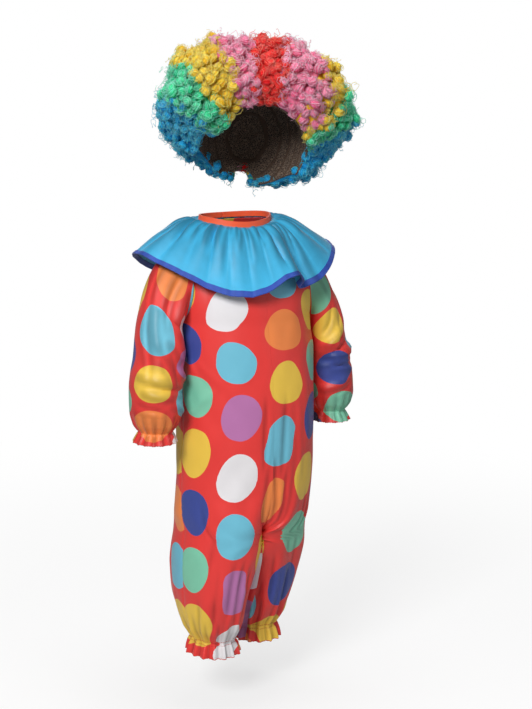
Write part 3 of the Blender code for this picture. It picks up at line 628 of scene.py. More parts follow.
def panelPrint(side, back, points):
    # place on the flat cloth of each point of a panel; columns of the grid run from the middle to the side
    z, gap = points[..., 2], printed["columnGap"]
    arc = arcLengths(points)
    fromSide = arcLengths(panelPoints(side, back, curved=False))[:, -1:] - arc
    if back:
        return backPrint(side, z, arc, fromSide)
    toMiddle = -side
    names = ("rightD", "rightA") if side < 0 else ("leftC", "leftB")
    near, far = (frontColumns[name](z) for name in names)
    inner, outer = side * gap / 2, side * gap * 3 / 2
    # the body pulls the orange dot on the left of the chest flat, and so wide
    chestDot = 1 + printed["pulled"] * ease(52 * mm, 38 * mm, np.abs(clothDown(z) - 38 * mm))
    across = outer + toMiddle * pastColumn(fromSide - near, far - near, (1, 1 if side < 0 else chestDot))
    # past the middle column the print runs on, evenly, to the middle column of the other half
    between = frontWidth[leftSide](z) + frontWidth[rightSide](z)
    between = between - frontColumns["rightA"](z) - frontColumns["leftB"](z)
    share = ease(suit["crotch"] + 0.010, suit["crotch"] + 0.042, z)
    between = gap + (between - gap) * share
    widths = (1, chestDot) if side < 0 else (chestDot, 1)
    onward = inner + toMiddle * pastColumn(fromSide - far, between, widths)
    across = np.where(fromSide > far, onward, across)
    outwards = ease(gap / 2, gap * 3 / 2, np.abs(across))
    droop = printed["sideDroop"] * outwards - 5 * mm * ease(-gap / 2, gap / 2, across) * (1 - outwards)
    return pinched(across, clothDown(z + droop))


def pinched(across, down):
    for column, row, lean, kept in pinchedDots:
        fromRim = np.hypot(across - column, down - row) - printed["dotRadius"]
        across = across + lean * (down - row) * ease(9 * mm, 5 * mm, fromRim)
        fromRim = np.hypot(across - column, down - row) - printed["dotRadius"]
        wave = 1.0 * mm * np.sin(down * 2 * math.pi / (31 * mm) + row * 60)
        for sign in (-1, 1):
            past = (across - column) * sign - kept - wave
            across = across + sign * 15 * mm * ease(-1 * mm, 5 * mm, past) * ease(7 * mm, 0.5 * mm, fromRim)
    return np.stack([across, down], axis=-1)


def sleeveTube(side, around, along):
    level = {key: line(along) for key, line in sleeveLevel.items()}
    spread = side * sleeve["spread"] * (1 - 0.8 * ease(0.3, 0.9, along))
    y = level["y"] + side * sleeve["swing"] * ease(0.1, 0.6, along)
    under = np.stack([level["underX"], y, level["underZ"]], axis=-1)
    outer = np.stack([level["outerX"] - spread, y, level["outerZ"]], axis=-1)
    turn = 2 * math.pi * around
    spoke = (under - outer) / 2 * np.cos(turn)[..., None]
    spoke[..., 1] -= level["halfFront"] * np.sin(turn)
    radius = np.linalg.norm(spoke, axis=-1)
    elastic = sleeve["elastic"]
    jitter = 0.8 * gatherNoise[-side](around)
    wave = np.cos(2 * math.pi * suit["cuffGathers"] * around + jitter)
    wave = 0.75 * wave + 0.25 * np.cos(4 * math.pi * suit["cuffGathers"] * around + 3 * jitter)
    rise = sleeve["gatherHeight"] * ease(0.78, 0.93, along)
    rise = rise * (1 - 0.5 * np.exp(-(((along - elastic) / 0.012) ** 2)))
    rise = rise - sleeve["frillLoss"] * ease(0.955, 1.0, along)
    lift = wave * rise - sleeve["channel"] * np.exp(-(((along - elastic) / 0.010) ** 2))
    down = sleeve["length"]
    for table in (sleeveFolds, sleeveCreases):
        scaled = [(row[0], row[1], row[2] * down) + row[3:] for row in table]
        lift = lift + foldsOver(scaled, side, around, along * down, 2 * math.pi * radius, wraps=True)
    return (under + outer) / 2 + spoke + unit(spoke) * lift[..., None]


def sleevePoint(side, around, along):
    around, along = np.broadcast_arrays(np.asarray(around, float), np.asarray(along, float))
    cap = sleeve["cap"]
    back = around > 0.5
    rise = np.where(back, 2 - 2 * around, 2 * around)
    backEdge = yokePoint(1, True, 1.0, rise)
    frontEdge = yokePoint(1, False, armholeShare(side, rise), rise)
    start = np.where(back[..., None], backEdge, frontEdge) + np.array([0.15 * mm, 0, 0])
    end = sleeveTube(side, around, np.full(around.shape, cap))
    lean = (0.5 + 0.5 * np.cos(2 * math.pi * around))[..., None]
    leaving = np.array([1, 0, -0.35]) * (1 - lean) + np.array([0.35, 0, -1.0]) * lean
    arriving = sleeveTube(side, around, np.full(around.shape, cap + 0.04)) - end
    reach = 0.33 * np.linalg.norm(end - start, axis=-1, keepdims=True)
    handles = (start, start + unit(leaving) * reach, end - unit(arriving) * reach, end)
    rounded = bezier(handles, np.minimum(along / cap, 1.0))
    point = np.where((along < cap)[..., None], rounded, sleeveTube(side, around, np.maximum(along, cap)))
    return point * np.array([side, 1, 1])


# where each sleeve's row of dots runs: around, and along at every row of them
sleevePrint = {
    rightSide: {"around": 0.347, "atCuff": 0.0, "along": (0.111, 0.414, 0.657, 0.889),
                "across": 33 * mm, "down": 38 * mm},
    leftSide: {"around": 0.215, "atCuff": 0.07, "along": (0.212, 0.424, 0.667, 0.909),
               "across": 99 * mm, "down": 76 * mm},
}


def panelPoints(side, back, curved=True):
    u = np.linspace(0, 1, suit["panelColumns"] + 1)
    rises = np.linspace(1, 0, suit["yokeRows"], endpoint=False)
    fine, change = suit["frillRows"], suit["ankleElastic"] + 50 * mm
    levels = np.concatenate([np.linspace(suit["armpit"], change, suit["bodyRows"] - fine, endpoint=False),
                             np.linspace(change, suit["hem"], fine)])
    reach = armholeShare(side, rises)[:, None] if curved and not back else 1.0
    yoke = yokePoint(side, back, u[None, :] * reach, rises[:, None])
    ring = ringPoint(side, (1 - u / 2 if back else u / 2)[None, :], levels[:, None])
    return np.concatenate([yoke, ring])


def widthLine(side):
    # how wide half of the front is at each height
    points = panelPoints(side, False, curved=False)
    heights, widths = points[..., 2].mean(axis=1), arcLengths(points)[:, -1]
    return lambda z: np.interp(-z, -heights, widths)


frontWidth = {side: widthLine(side) for side in (leftSide, rightSide)}


def buildPanel(side, back):
    node = ("back_" if back else "front_") + ("left" if side > 0 else "right")
    name = node + "_panel"
    points = panelPoints(side, back)
    uv = panelPrint(side, back, points)
    outward = side if back else -side
    normals = gridNormals(points) * outward
    arc = arcLengths(points)
    fromSide, fromMiddle = arc[:, -1:] - arc, arc
    legs = ease(suit["crotch"] + 0.01, suit["crotch"] - 0.02, points[..., 2])
    dip = np.exp(-((fromSide / suit["seamWidth"]) ** 2))
    dip = dip + np.exp(-((fromMiddle / suit["seamWidth"]) ** 2)) * np.maximum(legs, 0.7 if back else 0.12)
    pucker = 1 + suit["pucker"] * np.sin(points[..., 2] * 2 * math.pi / suit["puckerLength"])
    points = points - normals * (suit["seamDip"] * dip * pucker)[..., None]
    piece = clothPiece(name, points, uv, satin, suit["wall"], outward=outward, upright=True)
    down = np.linalg.norm(np.diff(points[:, suit["panelColumns"] // 2], axis=0), axis=-1).sum()
    print(name, "is", round(arc[:, -1].mean() / mm), "mm across on average and", round(down / mm), "mm long")
    finish(piece, [node])


def buildSleeve(side):
    word = "left" if side > 0 else "right"
    name = "sleeve_" + word + "_cloth"
    rows, columns, fine = sleeve["rows"], sleeve["columns"], sleeve["frillRows"]
    along = np.concatenate([np.linspace(0, sleeve["frillFrom"], rows - fine, endpoint=False),
                            np.linspace(sleeve["frillFrom"], 1, fine)])
    around = np.arange(columns) / columns
    points = sleevePoint(side, around[None, :], along[:, None])
    marks = sleevePrint[side]
    ring = np.linalg.norm(np.roll(points, -1, axis=1) - points, axis=-1).sum(axis=1)
    spokes = points - points.mean(axis=1, keepdims=True)
    smooth = 2 * math.pi * np.sqrt((spokes**2).sum(axis=-1).mean(axis=1))
    width = 0.35 * ring + 0.65 * smooth
    marked = [row * printed["rowGap"] for row in range(len(marks["along"]))]
    cuff = marked[-1] + 0.32 * (1 - marks["along"][-1])
    down = np.interp(along, (0,) + marks["along"] + (1,), [-30 * mm] + marked + [cuff])
    # both sleeves are cut with the print upside down
    middle = marks["around"] + marks["atCuff"] * ease(0.72, 0.90, along)
    across = marks["across"] - side * (around[None, :] - middle[:, None]) * width[:, None]
    uv = np.stack(np.broadcast_arrays(across, marks["down"] - down[:, None]), axis=-1)
    normals = gridNormals(points, closed=True) * side
    fromSeam = np.minimum(around, 1 - around)[None, :] * width[:, None]
    dip = np.exp(-((fromSeam / suit["seamWidth"]) ** 2)) + 0.8 * np.exp(-((along[:, None] / 0.012) ** 2))
    points = points - normals * (suit["seamDip"] * dip)[..., None]
    piece = clothPiece(name, points, uv, satin, suit["wall"], closed=True, outward=side)
    print(name, "is", round(ring[sleeve["capRows"]:].mean() / mm), "mm round on average")
    finish(piece, ["sleeve_" + word])


# polyester satin: a smooth, slightly glossy cloth whose folds catch soft light; printed with large dots
satinLook = {"IOR": 1.48, "Specular IOR Level": 0.42, "Sheen Weight": 0.12, "Sheen Roughness": 0.4,
             "Sheen Tint": (1.0, 0.85, 0.82, 1.0)}
# the twill is drawn coarser than real satin's, so that it shows; the last number darkens creases as painted
# shade
satinWeave = {"thread": 0.9 * mm, "crumple": 14 * mm, "depth": 0.16 * mm, "ink": 6.25 * mm,
              "worn": 45.4545 * mm, "wornShade": (0.93, 1.05), "roughness": (0.36, 0.50), "paintedCreaseShade": 0.35}


def printedSatin():
    made, shader = newMaterial("printed polyester satin", satinLook)
    uv, across, down = clothCoordinates(made)
    gap, rowGap = printed["columnGap"], printed["rowGap"]
    # which column and row of dots a place is nearest to, and how far it lies from that dot's middle
    fromFirst = addNode(made, "Math", across, printed["firstColumn"], operation="SUBTRACT")
    column = addNode(made, "Math", fromFirst, gap, operation="DIVIDE")
    column = addNode(made, "Math", column, operation="ROUND")
    offAcross = addNode(made, "Math", column, -gap, fromFirst, operation="MULTIPLY_ADD")
    odd = addNode(made, "Math", column, 2.0, operation="FLOORED_MODULO")
    even = addNode(made, "Math", 1.0, odd, operation="SUBTRACT")
    dropped = addNode(made, "Math", even, rowGap / 2, down, operation="MULTIPLY_ADD")
    row = addNode(made, "Math", dropped, rowGap, operation="DIVIDE")
    row = addNode(made, "Math", row, operation="ROUND")
    offDown = addNode(made, "Math", row, -rowGap, dropped, operation="MULTIPLY_ADD")
    squares = [addNode(made, "Math", off, off, operation="MULTIPLY") for off in (offAcross, offDown)]
    reach = addNode(made, "Math", *squares, operation="ADD")
    reach = addNode(made, "Math", reach, operation="SQRT")
    # the ink's uneven edge
    wobble = addNode(made, "TexNoise", Vector=uv, Scale=1 / satinWeave["ink"], Detail=2.0)
    reach = addNode(made, "Math", wobble, 2 * printed["wobble"], reach, operation="MULTIPLY_ADD")
    radius, edge = printed["dotRadius"] + printed["wobble"], printed["edge"]
    inside = addNode(made, "MapRange", reach, radius + edge, radius - edge, interpolation_type="SMOOTHSTEP")
    # the colour that each dot has, four columns of three
    chart = [name for colours in printed["columns"] for name in colours]
    columns, rows = len(printed["columns"]), len(printed["columns"][0])
    which = addNode(made, "Math", row, rows, operation="FLOORED_MODULO")
    inColumn = addNode(made, "Math", column, columns, operation="FLOORED_MODULO")
    which = addNode(made, "Math", inColumn, rows, which, operation="MULTIPLY_ADD")
    which = addNode(made, "Math", which, 0.5, operation="ADD")
    which = addNode(made, "Math", which, len(chart), operation="DIVIDE")
    dots = addNode(made, "ValToRGB", Fac=which)
    ramp = dots.color_ramp
    ramp.interpolation = "CONSTANT"
    for i, name in enumerate(chart):
        stop = ramp.elements[i] if i < 2 else ramp.elements.new(i / len(chart))
        stop.position = i / len(chart)
        stop.color = linear(printed["colours"][name])
    colour = addNode(made, "Mix", inside, data_type="RGBA", in6=linear(printed["colours"]["red"]), in7=dots)
    relief = clothRelief(made, shader, uv, across, down, satinWeave)
    worn = addNode(made, "TexNoise", Vector=uv, Scale=1 / satinWeave["worn"], Detail=4.0)
    shade = addNode(made, "MapRange", worn, 0.0, 1.0, *satinWeave["wornShade"])
    # painted shade in the creases
    shade = paintedCreaseShade(made, shade, satinWeave["paintedCreaseShade"])
    plug(made, shader, "Base Color", addNode(made, "HueSaturation", Color=(colour, 2), Value=shade))
    roughness = addNode(made, "MapRange", relief, 0.0, 1.0, *satinWeave["roughness"])
    plug(made, shader, "Roughness", roughness)
    return made


# plain-woven polyester of the collar, and bias tape folded from the same sort of cloth
plainCloths = {
    "turquoise polyester": {"hex": "#3fb6e4", "roughness": 0.44, "sheen": 0.15, "thread": 0.8 * mm},
    "blue bias tape": {"hex": "#2c50b4", "roughness": 0.50, "sheen": 0.15, "thread": 0.9 * mm},
    "orange bias tape": {"hex": "#fb5f36", "roughness": 0.50, "sheen": 0.15, "thread": 0.9 * mm},
}
# the last number darkens creases as painted shade
plainWeave = {"crumple": 11 * mm, "depth": 0.14 * mm, "shade": (0.90, 1.08), "paintedCreaseShade": 0.5}
sewingThread = {"fibre": 1.1111 * mm, "depth": 0.1 * mm, "shade": (0.75, 1.15), "roughness": 0.65}


def plainCloth(name):
    cloth = plainCloths[name]
    look = {"IOR": 1.48, "Roughness": cloth["roughness"], "Sheen Weight": cloth["sheen"]}
    made, shader = newMaterial(name, {**look, "Sheen Roughness": 0.45})
    uv, across, down = clothCoordinates(made)
    relief = clothRelief(made, shader, uv, across, down, {**plainWeave, "thread": cloth["thread"]})
    shade = addNode(made, "MapRange", relief, 0.0, 1.0, *plainWeave["shade"])
    # painted shade in the creases
    shade = paintedCreaseShade(made, shade, plainWeave["paintedCreaseShade"])
    plug(made, shader, "Base Color", addNode(made, "HueSaturation", Color=linear(cloth["hex"]), Value=shade))
    return made


def thread(name, hexColour):
    # spun polyester sewing thread: matt, with a twist that shows as fine light and dark
    made, shader = newMaterial(name, {"Roughness": sewingThread["roughness"]})
    place = addNode(made, "TexCoord")
    twist = addNode(made, "TexNoise", Vector=(place, "Object"), Scale=1 / sewingThread["fibre"], Detail=2.0)
    shade = addNode(made, "MapRange", twist, 0.0, 1.0, *sewingThread["shade"])
    plug(made, shader, "Base Color", addNode(made, "HueSaturation", Color=linear(hexColour), Value=shade))
    plug(made, shader, "Normal", addNode(made, "Bump", Distance=sewingThread["depth"], Height=twist))
    return made


satin = printedSatin()
turquoise, blueTape, orangeTape = (plainCloth(name) for name in plainCloths)
redThread = thread("red sewing thread", "#c22a26")
hemThread = thread("orange overlock thread", "#d9432c")

for side in (leftSide, rightSide):
    for back in (False, True):
        buildPanel(side, back)
for side in (leftSide, rightSide):
    buildSleeve(side)
print("panels and sleeves made")


# the collar: one gathered ring of cloth whose rim rolls in deep flutes
collar = {
    "start": 1.7 * mm, "tapeShare": 0.075, "tape": 2.4 * mm, "wall": 0.9 * mm, "gathers": 34,
    "columns": 336, "rows": 46, "gatherHeight": 4.8 * mm, "flutes": 23, "fluteHeight": 5.2 * mm,
    # rows lie closer near the neck, and some cloth runs on under the rim's tape
    "neckRows": 14, "neckShare": 0.2, "underTape": 0.02,
    # how far it runs on level from the neck, and how it hangs down at the rim
    "leaves": 36 * mm, "arrives": 24 * mm, "hang": 0.38,
    "flat": (0.90, 0.10), "area": 0.075,
}
rimTape = {"rows": 5, "pucker": 0.12 * mm, "puckers": 260, "rounded": 0.75 * mm}
neckTape = {"foot": 0.2 * mm, "top": 8 * mm, "rows": 5, "narrowing": 0.02, "above": 0.4 * mm,
            "wall": 2.4 * mm, "pucker": 0.15 * mm, "puckers": 150, "rounded": 0.8 * mm}
collarRim = readTable(("angle", "reach", "z"), (
    (-180, 0.1100, -0.0910), (-166, 0.1150, -0.0810), (-152, 0.1190, -0.0850), (-135, 0.1290, -0.0740),
    (-117, 0.1410, -0.0540), (-90, 0.1476, -0.0385), (-75, 0.1380, -0.0490), (-60, 0.1280, -0.0630),
    (-40, 0.1210, -0.0825), (-29, 0.1205, -0.0885), (-17, 0.1200, -0.0905), (-6, 0.1190, -0.0865),
    (4, 0.1185, -0.0770), (11, 0.1200, -0.0690), (18, 0.1240, -0.0650), (24, 0.1220, -0.0740),
    (29, 0.1080, -0.0865), (35, 0.1080, -0.0885), (43, 0.1240, -0.0800), (52, 0.1340, -0.0670),
    (63, 0.1402, -0.0525),
    (76, 0.1450, -0.0425), (90, 0.1476, -0.0380), (110, 0.1420, -0.0510), (128, 0.1300, -0.0810),
    (143, 0.1270, -0.0650), (158, 0.1160, -0.0880), (180, 0.1100, -0.0910),
))
# creases pressed down the collar: angle at the neck and towards the rim, where they end, width and depth
collarCreases = (
    (-112, -104, 0.50, 3.2, 4.2), (-96, -88, 0.42, 2.6, 3.8), (-81, -76, 0.62, 3.0, 3.6),
    (-64, -66, 0.35, 2.6, 2.6), (-47, -50, 0.66, 3.4, 2.6), (-31, -34, 0.92, 3.4, 2.8),
    (-20, -24, 0.48, 2.6, 2.4), (-10, -12, 0.72, 3.2, 2.8), (2, 2, 0.45, 2.6, 2.4),
    (11, 17, 0.97, 3.4, 3.4), (27, 30, 0.66, 3.0, 2.6), (44, 38, 0.97, 3.2, 3.4),
    (60, 58, 0.50, 3.0, 2.4), (78, 74, 0.80, 3.4, 2.6), (97, 100, 0.45, 3.0, 2.6),
    (118, 122, 0.90, 3.4, 3.2), (138, 137, 0.55, 3.0, 2.8), (158, 152, 0.90, 3.2, 3.0),
    (-126, -128, 0.90, 3.2, 3.0), (-146, -142, 0.60, 3.0, 2.6), (-165, -160, 0.90, 3.2, 3.0),
)
neckNoise, rimNoise = wavyNoise(3, 6), wavyNoise(8, 7)
# angles round the neck, either side of the slit at the centre back
slit = 0.4 * mm / suit["neckBackDepth"]
turns = np.linspace(-math.pi + slit, math.pi - slit, collar["columns"] + 1)


def collarPoint(turn, share):
    # the collar's cloth from the neck (share 0) to its rim (1)
    turn, share = np.broadcast_arrays(np.asarray(turn, float), np.asarray(share, float))
    degrees = np.degrees(turn)
    start = neckline(turn) + np.array([0, 0, collar["start"]])
    reach, z = collarRim["reach"](degrees), collarRim["z"](degrees)
    end = np.stack([reach * np.sin(turn), -reach * np.cos(turn), z], axis=-1)
    away = np.stack([np.sin(turn), -np.cos(turn), np.zeros_like(turn)], axis=-1)
    fall = start[..., 2] - end[..., 2]
    up = np.array([0.0, 0.0, 1.0])
    near = start + away * collar["leaves"] + up * mm
    far = end - away * collar["arrives"] + up * (collar["hang"] * fall)[..., None]
    point = bezier((start, near, far, end), share)
    around = turn / (2 * math.pi)
    jitter = 0.9 * neckNoise(around)
    ridge = (0.5 + 0.5 * np.cos(collar["gathers"] * turn + jitter)) ** 1.4
    size = collar["gatherHeight"] * (1 + 0.35 * rimNoise(around))
    lift = ridge * size * ease(0.01, 0.14, share) * (1 - 0.94 * ease(0.15, 0.60, share))
    flute = np.abs(np.sin(0.5 * (collar["flutes"] * turn + 1.3 * neckNoise(around + 0.3)))) ** 0.7
    flute = flute * collar["fluteHeight"] * (0.8 + 0.6 * rimNoise(around + 0.6)) - 0.5 * collar["fluteHeight"]
    lift = lift + flute * ease(0.08, 0.35, share) * (1 - 0.75 * ease(0.55, 1.0, share))
    for neckAngle, rimAngle, ends, width, depth in collarCreases:
        middle = neckAngle + (rimAngle - neckAngle) * share
        off = (degrees - middle + 180) % 360 - 180
        off = np.radians(off) * np.linalg.norm(point[..., :2], axis=-1)
        wide = 0.65 * width * mm * (1 + 1.8 * share)
        groove = np.exp(-((np.abs(off) / wide) ** 1.4)) - 0.45 * np.exp(-((off / (2.6 * wide)) ** 2))
        lift = lift - 2.2 * depth * mm * groove * ease(0.0, 0.12, share) * ease(ends, ends * 0.45, share)
    return point + unit(away * 0.4 + up) * lift[..., None]


def ringCloth(points):
    # cloth coordinates of a ring piece: along it, and down it
    across = arcLengths(points)
    steps = np.linalg.norm(np.diff(points, axis=0), axis=-1).mean(axis=1)
    down = np.concatenate([[0], np.cumsum(steps)])
    middle = across[len(across) // 2]
    return np.stack(np.broadcast_arrays(middle[None, :], down[:, None]), axis=-1)


def roundEdges(piece, width):
    bpy.context.view_layer.objects.active = piece
    piece.select_set(True)
    edge = piece.modifiers.new("rounded", "BEVEL")
    edge.width = width
    edge.segments = 2
    edge.limit_method = "ANGLE"
    edge.angle_limit = math.radians(50)
    bpy.ops.object.modifier_apply(modifier=edge.name)
    bpy.ops.object.shade_smooth_by_angle(angle=math.radians(55))
    piece.select_set(False)


def buildCollar():
    fine, neckShare = collar["neckRows"], collar["neckShare"]
    last = 1 - collar["tapeShare"] + collar["underTape"]
    shares = np.concatenate([np.linspace(0, neckShare, fine, endpoint=False),
                             np.linspace(neckShare, last, collar["rows"] - fine)])
    points = collarPoint(turns[None, :], shares[:, None])
    piece = clothPiece("collar_cloth", points, ringCloth(points), turquoise, collar["wall"])
    finish(piece, ["collar"])


def buildRimTape():
    shares = np.linspace(1 - collar["tapeShare"], 1.0, rimTape["rows"])
    points = collarPoint(turns[None, :], shares[:, None])
    pucker = rimTape["pucker"] * np.sin(turns * rimTape["puckers"])[None, :]
    points = points + gridNormals(points) * ((collar["tape"] - collar["wall"]) / 2 + pucker)[..., None]
    tape = clothPiece("collar_binding_tape", points, ringCloth(points), blueTape, collar["tape"])
    roundEdges(tape, rimTape["rounded"])
    finish(tape, ["collar_binding"])


def buildNeckTape():
    heights = np.linspace(neckTape["foot"], neckTape["top"], neckTape["rows"])
    shrink = 1 - neckTape["narrowing"] * heights / neckTape["top"]
    points = neckline(turns)[None] * shrink[:, None, None]
    points[..., 2] += collar["start"] + neckTape["above"] + heights[:, None]
    pucker = neckTape["pucker"] * np.sin(turns * neckTape["puckers"])
    points = points + gridNormals(points) * (neckTape["wall"] / 2 + pucker)[None, :, None]
    band = clothPiece("neck_binding_tape", points, ringCloth(points), orangeTape, neckTape["wall"])
    roundEdges(band, neckTape["rounded"])
    finish(band, ["neck_binding"])


buildCollar()
buildRimTape()
buildNeckTape()
print("collar made")


# sewing: rows of lockstitch, and overlocked hems
sewing = {
    "stitch": 2.6 * mm, "gap": 0.9 * mm, "radius": 0.30 * mm, "proud": 0.25 * mm, "points": 400,
    "hemPoints": 260, "hemRipples": 52, "hemRipple": 0.25 * mm, "hemRadius": 0.62 * mm, "hemInset": 0.35 * mm,
    "elasticHalf": 2.6 * mm, "fromTape": 0.012,
}


def stitchLine(name, line, material, normals):
    # short threads laid end to end along a line of points
    steps = np.linalg.norm(np.diff(line, axis=0), axis=-1)
    arc = np.concatenate([[0], np.cumsum(steps)])
    every = sewing["stitch"] + sewing["gap"]
    starts = np.arange(int(arc[-1] / every)) * every
    lines = []
    for part, lift in ((0, -0.3), (0.25, 1), (0.75, 1), (1, -0.3)):
        at = starts + part * sewing["stitch"]
        spot = np.stack([np.interp(at, arc, line[:, i]) for i in range(3)], axis=-1)
        out = unit(np.stack([np.interp(at, arc, normals[:, i]) for i in range(3)], axis=-1))
        lines.append(spot + out * (sewing["proud"] * lift))
    return tubePiece(name, np.stack(lines, axis=1), sewing["radius"], 4, material)


def levelAway(ring):
    # level directions from the middle of a limb to each point round it
    return unit((ring - ring.mean(axis=0)) * np.array([1, 1, 0]))


def buildLimbSewing(side, word):
    count = sewing["hemPoints"]
    around = np.linspace(0, 1, count, endpoint=False)
    hems = {"ankle": ringPoint(side, around, suit["hem"]), "cuff": sleevePoint(side, around, 1.0)}
    for place, hem in hems.items():
        hem[:, 2] += 0.1 * mm + sewing["hemRipple"] * np.sin(2 * math.pi * around * sewing["hemRipples"])
        hem = hem - levelAway(hem) * sewing["hemInset"]
        name = place + "_overlock_" + word
        finish(tubePiece(name, hem[None], sewing["hemRadius"], 6, hemThread, closed=True))
    around = np.linspace(0, 1, sewing["points"])
    for place, offset in (("upper", sewing["elasticHalf"]), ("lower", -sewing["elasticHalf"])):
        along = sleeve["elastic"] - offset / sleeve["length"]
        rings = {"ankle": ringPoint(side, around, suit["ankleElastic"] + offset),
                 "cuff": sleevePoint(side, around, along)}
        for limb, ring in rings.items():
            name = limb + "_stitches_" + place + "_" + word
            finish(stitchLine(name, ring, redThread, levelAway(ring)))


def buildTapeStitches():
    share = 1 - collar["tapeShare"] + sewing["fromTape"]
    line, above = collarPoint(turns, share), collarPoint(turns, share - 0.01)
    normals = unit(np.cross(np.gradient(line, axis=0), above - line))
    normals = normals * np.sign(normals[:, 2:3] + 1e-9)
    line = line + normals * (collar["tape"] - collar["wall"]) / 2
    finish(stitchLine("collar_tape_stitches", line, blueThread, normals))


blueThread = thread("blue sewing thread", "#1f3a8c")
for side, word in ((leftSide, "left"), (rightSide, "right")):
    buildLimbSewing(side, word)
buildTapeStitches()
print("sewing made")


# the wig: a net cap, and bands of ringlets over a base of hair
wig = {
    "centre": Vector((11 * mm, -40 * mm, 112 * mm)), "turn": math.radians(-20), "tilt": math.radians(8.5),
    "radii": (128 * mm, 130 * mm, 108 * mm), "squareness": 2.5, "hairCentre": (-4 * mm, 4 * mm, 28 * mm),
    "capRadii": (75 * mm, 90 * mm, 90 * mm), "standoff": 1.0 * mm,
    "nape": math.radians(42), "browSpread": 0.6, "end": math.radians(80), "sides": (108, 119),
    "clump": 6.5 * mm,
    # how low the hair is at each of its edges, and over how many degrees it rises from there
    "frontEdge": (0.62, 24), "napeEdge": (0.72, 24), "lowerEdge": (0.70, 16),
    "base": 0.84,    # how far out the base of hair reaches under the ringlets
    # baseShade and insideShade are painted shade: the base is darker under the ringlets, and its inner face
    # darker still
    "baseStep": 2.4, "baseRows": 44, "baseUneven": 0.015, "baseShade": 0.46, "insideShade": 0.05,
    "ballRadius": 7.8 * mm, "apart": 9.4 * mm, "flatness": 0.78, "strand": 0.74 * mm, "wisp": 0.34 * mm,
    "coils": 1, "turnsPerCoil": 2.5,
}
wigPlace = Matrix.LocRotScale(wig["centre"], Euler((0.0, wig["tilt"], wig["turn"])), None)
wigBands = (
    ("blue_right", -108, -83), ("green_right", -83, -60), ("yellow_right", -60, -36),
    ("pink_right", -36, -12), ("red_middle", -12, 12), ("pink_left", 12, 36),
    ("yellow_left", 36, 60), ("green_left", 60, 83), ("blue_left", 83, 119),
)
hairlineFront = readTable(("roll", "front"), (
    (0, 52), (36, 53), (60, 50), (76, 42), (88, 18), (98, -3), (119, -10)))["front"]
# how much farther forward the hair falls over the right temple, in degrees
overhang = readTable(("roll", "forward"), (
    (-119, 0), (-104, 4), (-92, 14), (-78, 19), (-62, 16), (-48, 9), (-34, 2), (0, 0), (119, 0)))["forward"]
# painted shade and light for each colour of synthetic hair: shaded roots, the body colour and lit tips
hairColours = {
    "red": ("#b40c10", "#f6262a", "#ff6452"), "pink": ("#f04a7c", "#ff86aa", "#ffbccf"),
    "yellow": ("#d89a0c", "#ffcc30", "#ffec70"), "green": ("#14a06c", "#3cdc9c", "#88f6c8"),
    "blue": ("#0c78bc", "#24aeec", "#64dcf8"),
}


def headDirection(roll, pitch):
    # roll runs from ear to ear, 0 at the crown; pitch from the face (-90) to the nape (+90)
    broad = np.cos(pitch * np.where(pitch < 0, wig["browSpread"], 1))
    plain = [np.sin(roll) * broad, np.sin(pitch) + 0 * roll, np.cos(roll) * np.cos(pitch)]
    x, y, z = np.moveaxis(unit(np.stack(plain, axis=-1)), -1, 0)
    drop = wig["nape"] * ease(0, math.radians(90), pitch)
    return np.stack([x, y * np.cos(drop) + z * np.sin(drop), z * np.cos(drop) - y * np.sin(drop)], axis=-1)


def onEllipsoid(radii, direction, squareness=2):
    return (np.abs(direction / np.array(radii)) ** squareness).sum(axis=-1) ** (-1 / squareness)


def atEdge(edge, inside):
    # the hair is lower along its edges; inside is how far a place is from the edge, in radians
    low, degrees = wig[edge]
    return low + (1 - low) * ease(0, math.radians(degrees), inside)


def fallsFrom(roll):
    # where the hairline is, with the overhang over the temple
    return -np.radians(hairlineFront(np.abs(np.degrees(roll))) + overhang(np.degrees(roll)))


def hairPoint(roll, pitch, depth):
    # depth 0 at the cap, 1 at the wig's outside
    direction = headDirection(roll, pitch)
    inner = direction * (onEllipsoid(wig["capRadii"], direction) + wig["standoff"])[..., None]
    clump = np.sin(9.5 * roll + 2.0 * np.sin(5 * pitch)) * np.cos(8.0 * pitch + 1.5 * np.sin(4 * roll))
    reach = onEllipsoid(wig["radii"], direction, wig["squareness"]) + wig["clump"] * clump
    outer = np.array(wig["hairCentre"]) + direction * reach[..., None]
    end = np.radians(np.where(roll > 0, wig["sides"][1], wig["sides"][0]))
    height = depth * atEdge("frontEdge", pitch - fallsFrom(roll)) * atEdge("napeEdge", wig["end"] - pitch)
    height = height * atEdge("lowerEdge", end - np.abs(roll))
    return inner + (outer - inner) * height[..., None]


def placed(points):
    matrix = np.array(wigPlace)
    return points @ matrix[:3, :3].T + matrix[:3, 3]


hairLook = {"Roughness": 0.45, "Specular IOR Level": 0.25, "Subsurface Weight": 0.8,
            "Subsurface Radius": (1, 1, 1), "Subsurface Scale": 3 * mm}
# windings are the strands met on one whole turn across a rosette; stray, contrast and uneven are how far
# single fibres leave them, and how light and dark they are
hairFibre = {"fibre": 1.1111 * mm, "windings": 15.0, "stray": 3.0, "contrast": 0.16, "uneven": 0.5,
             "depth": 0.45 * mm}


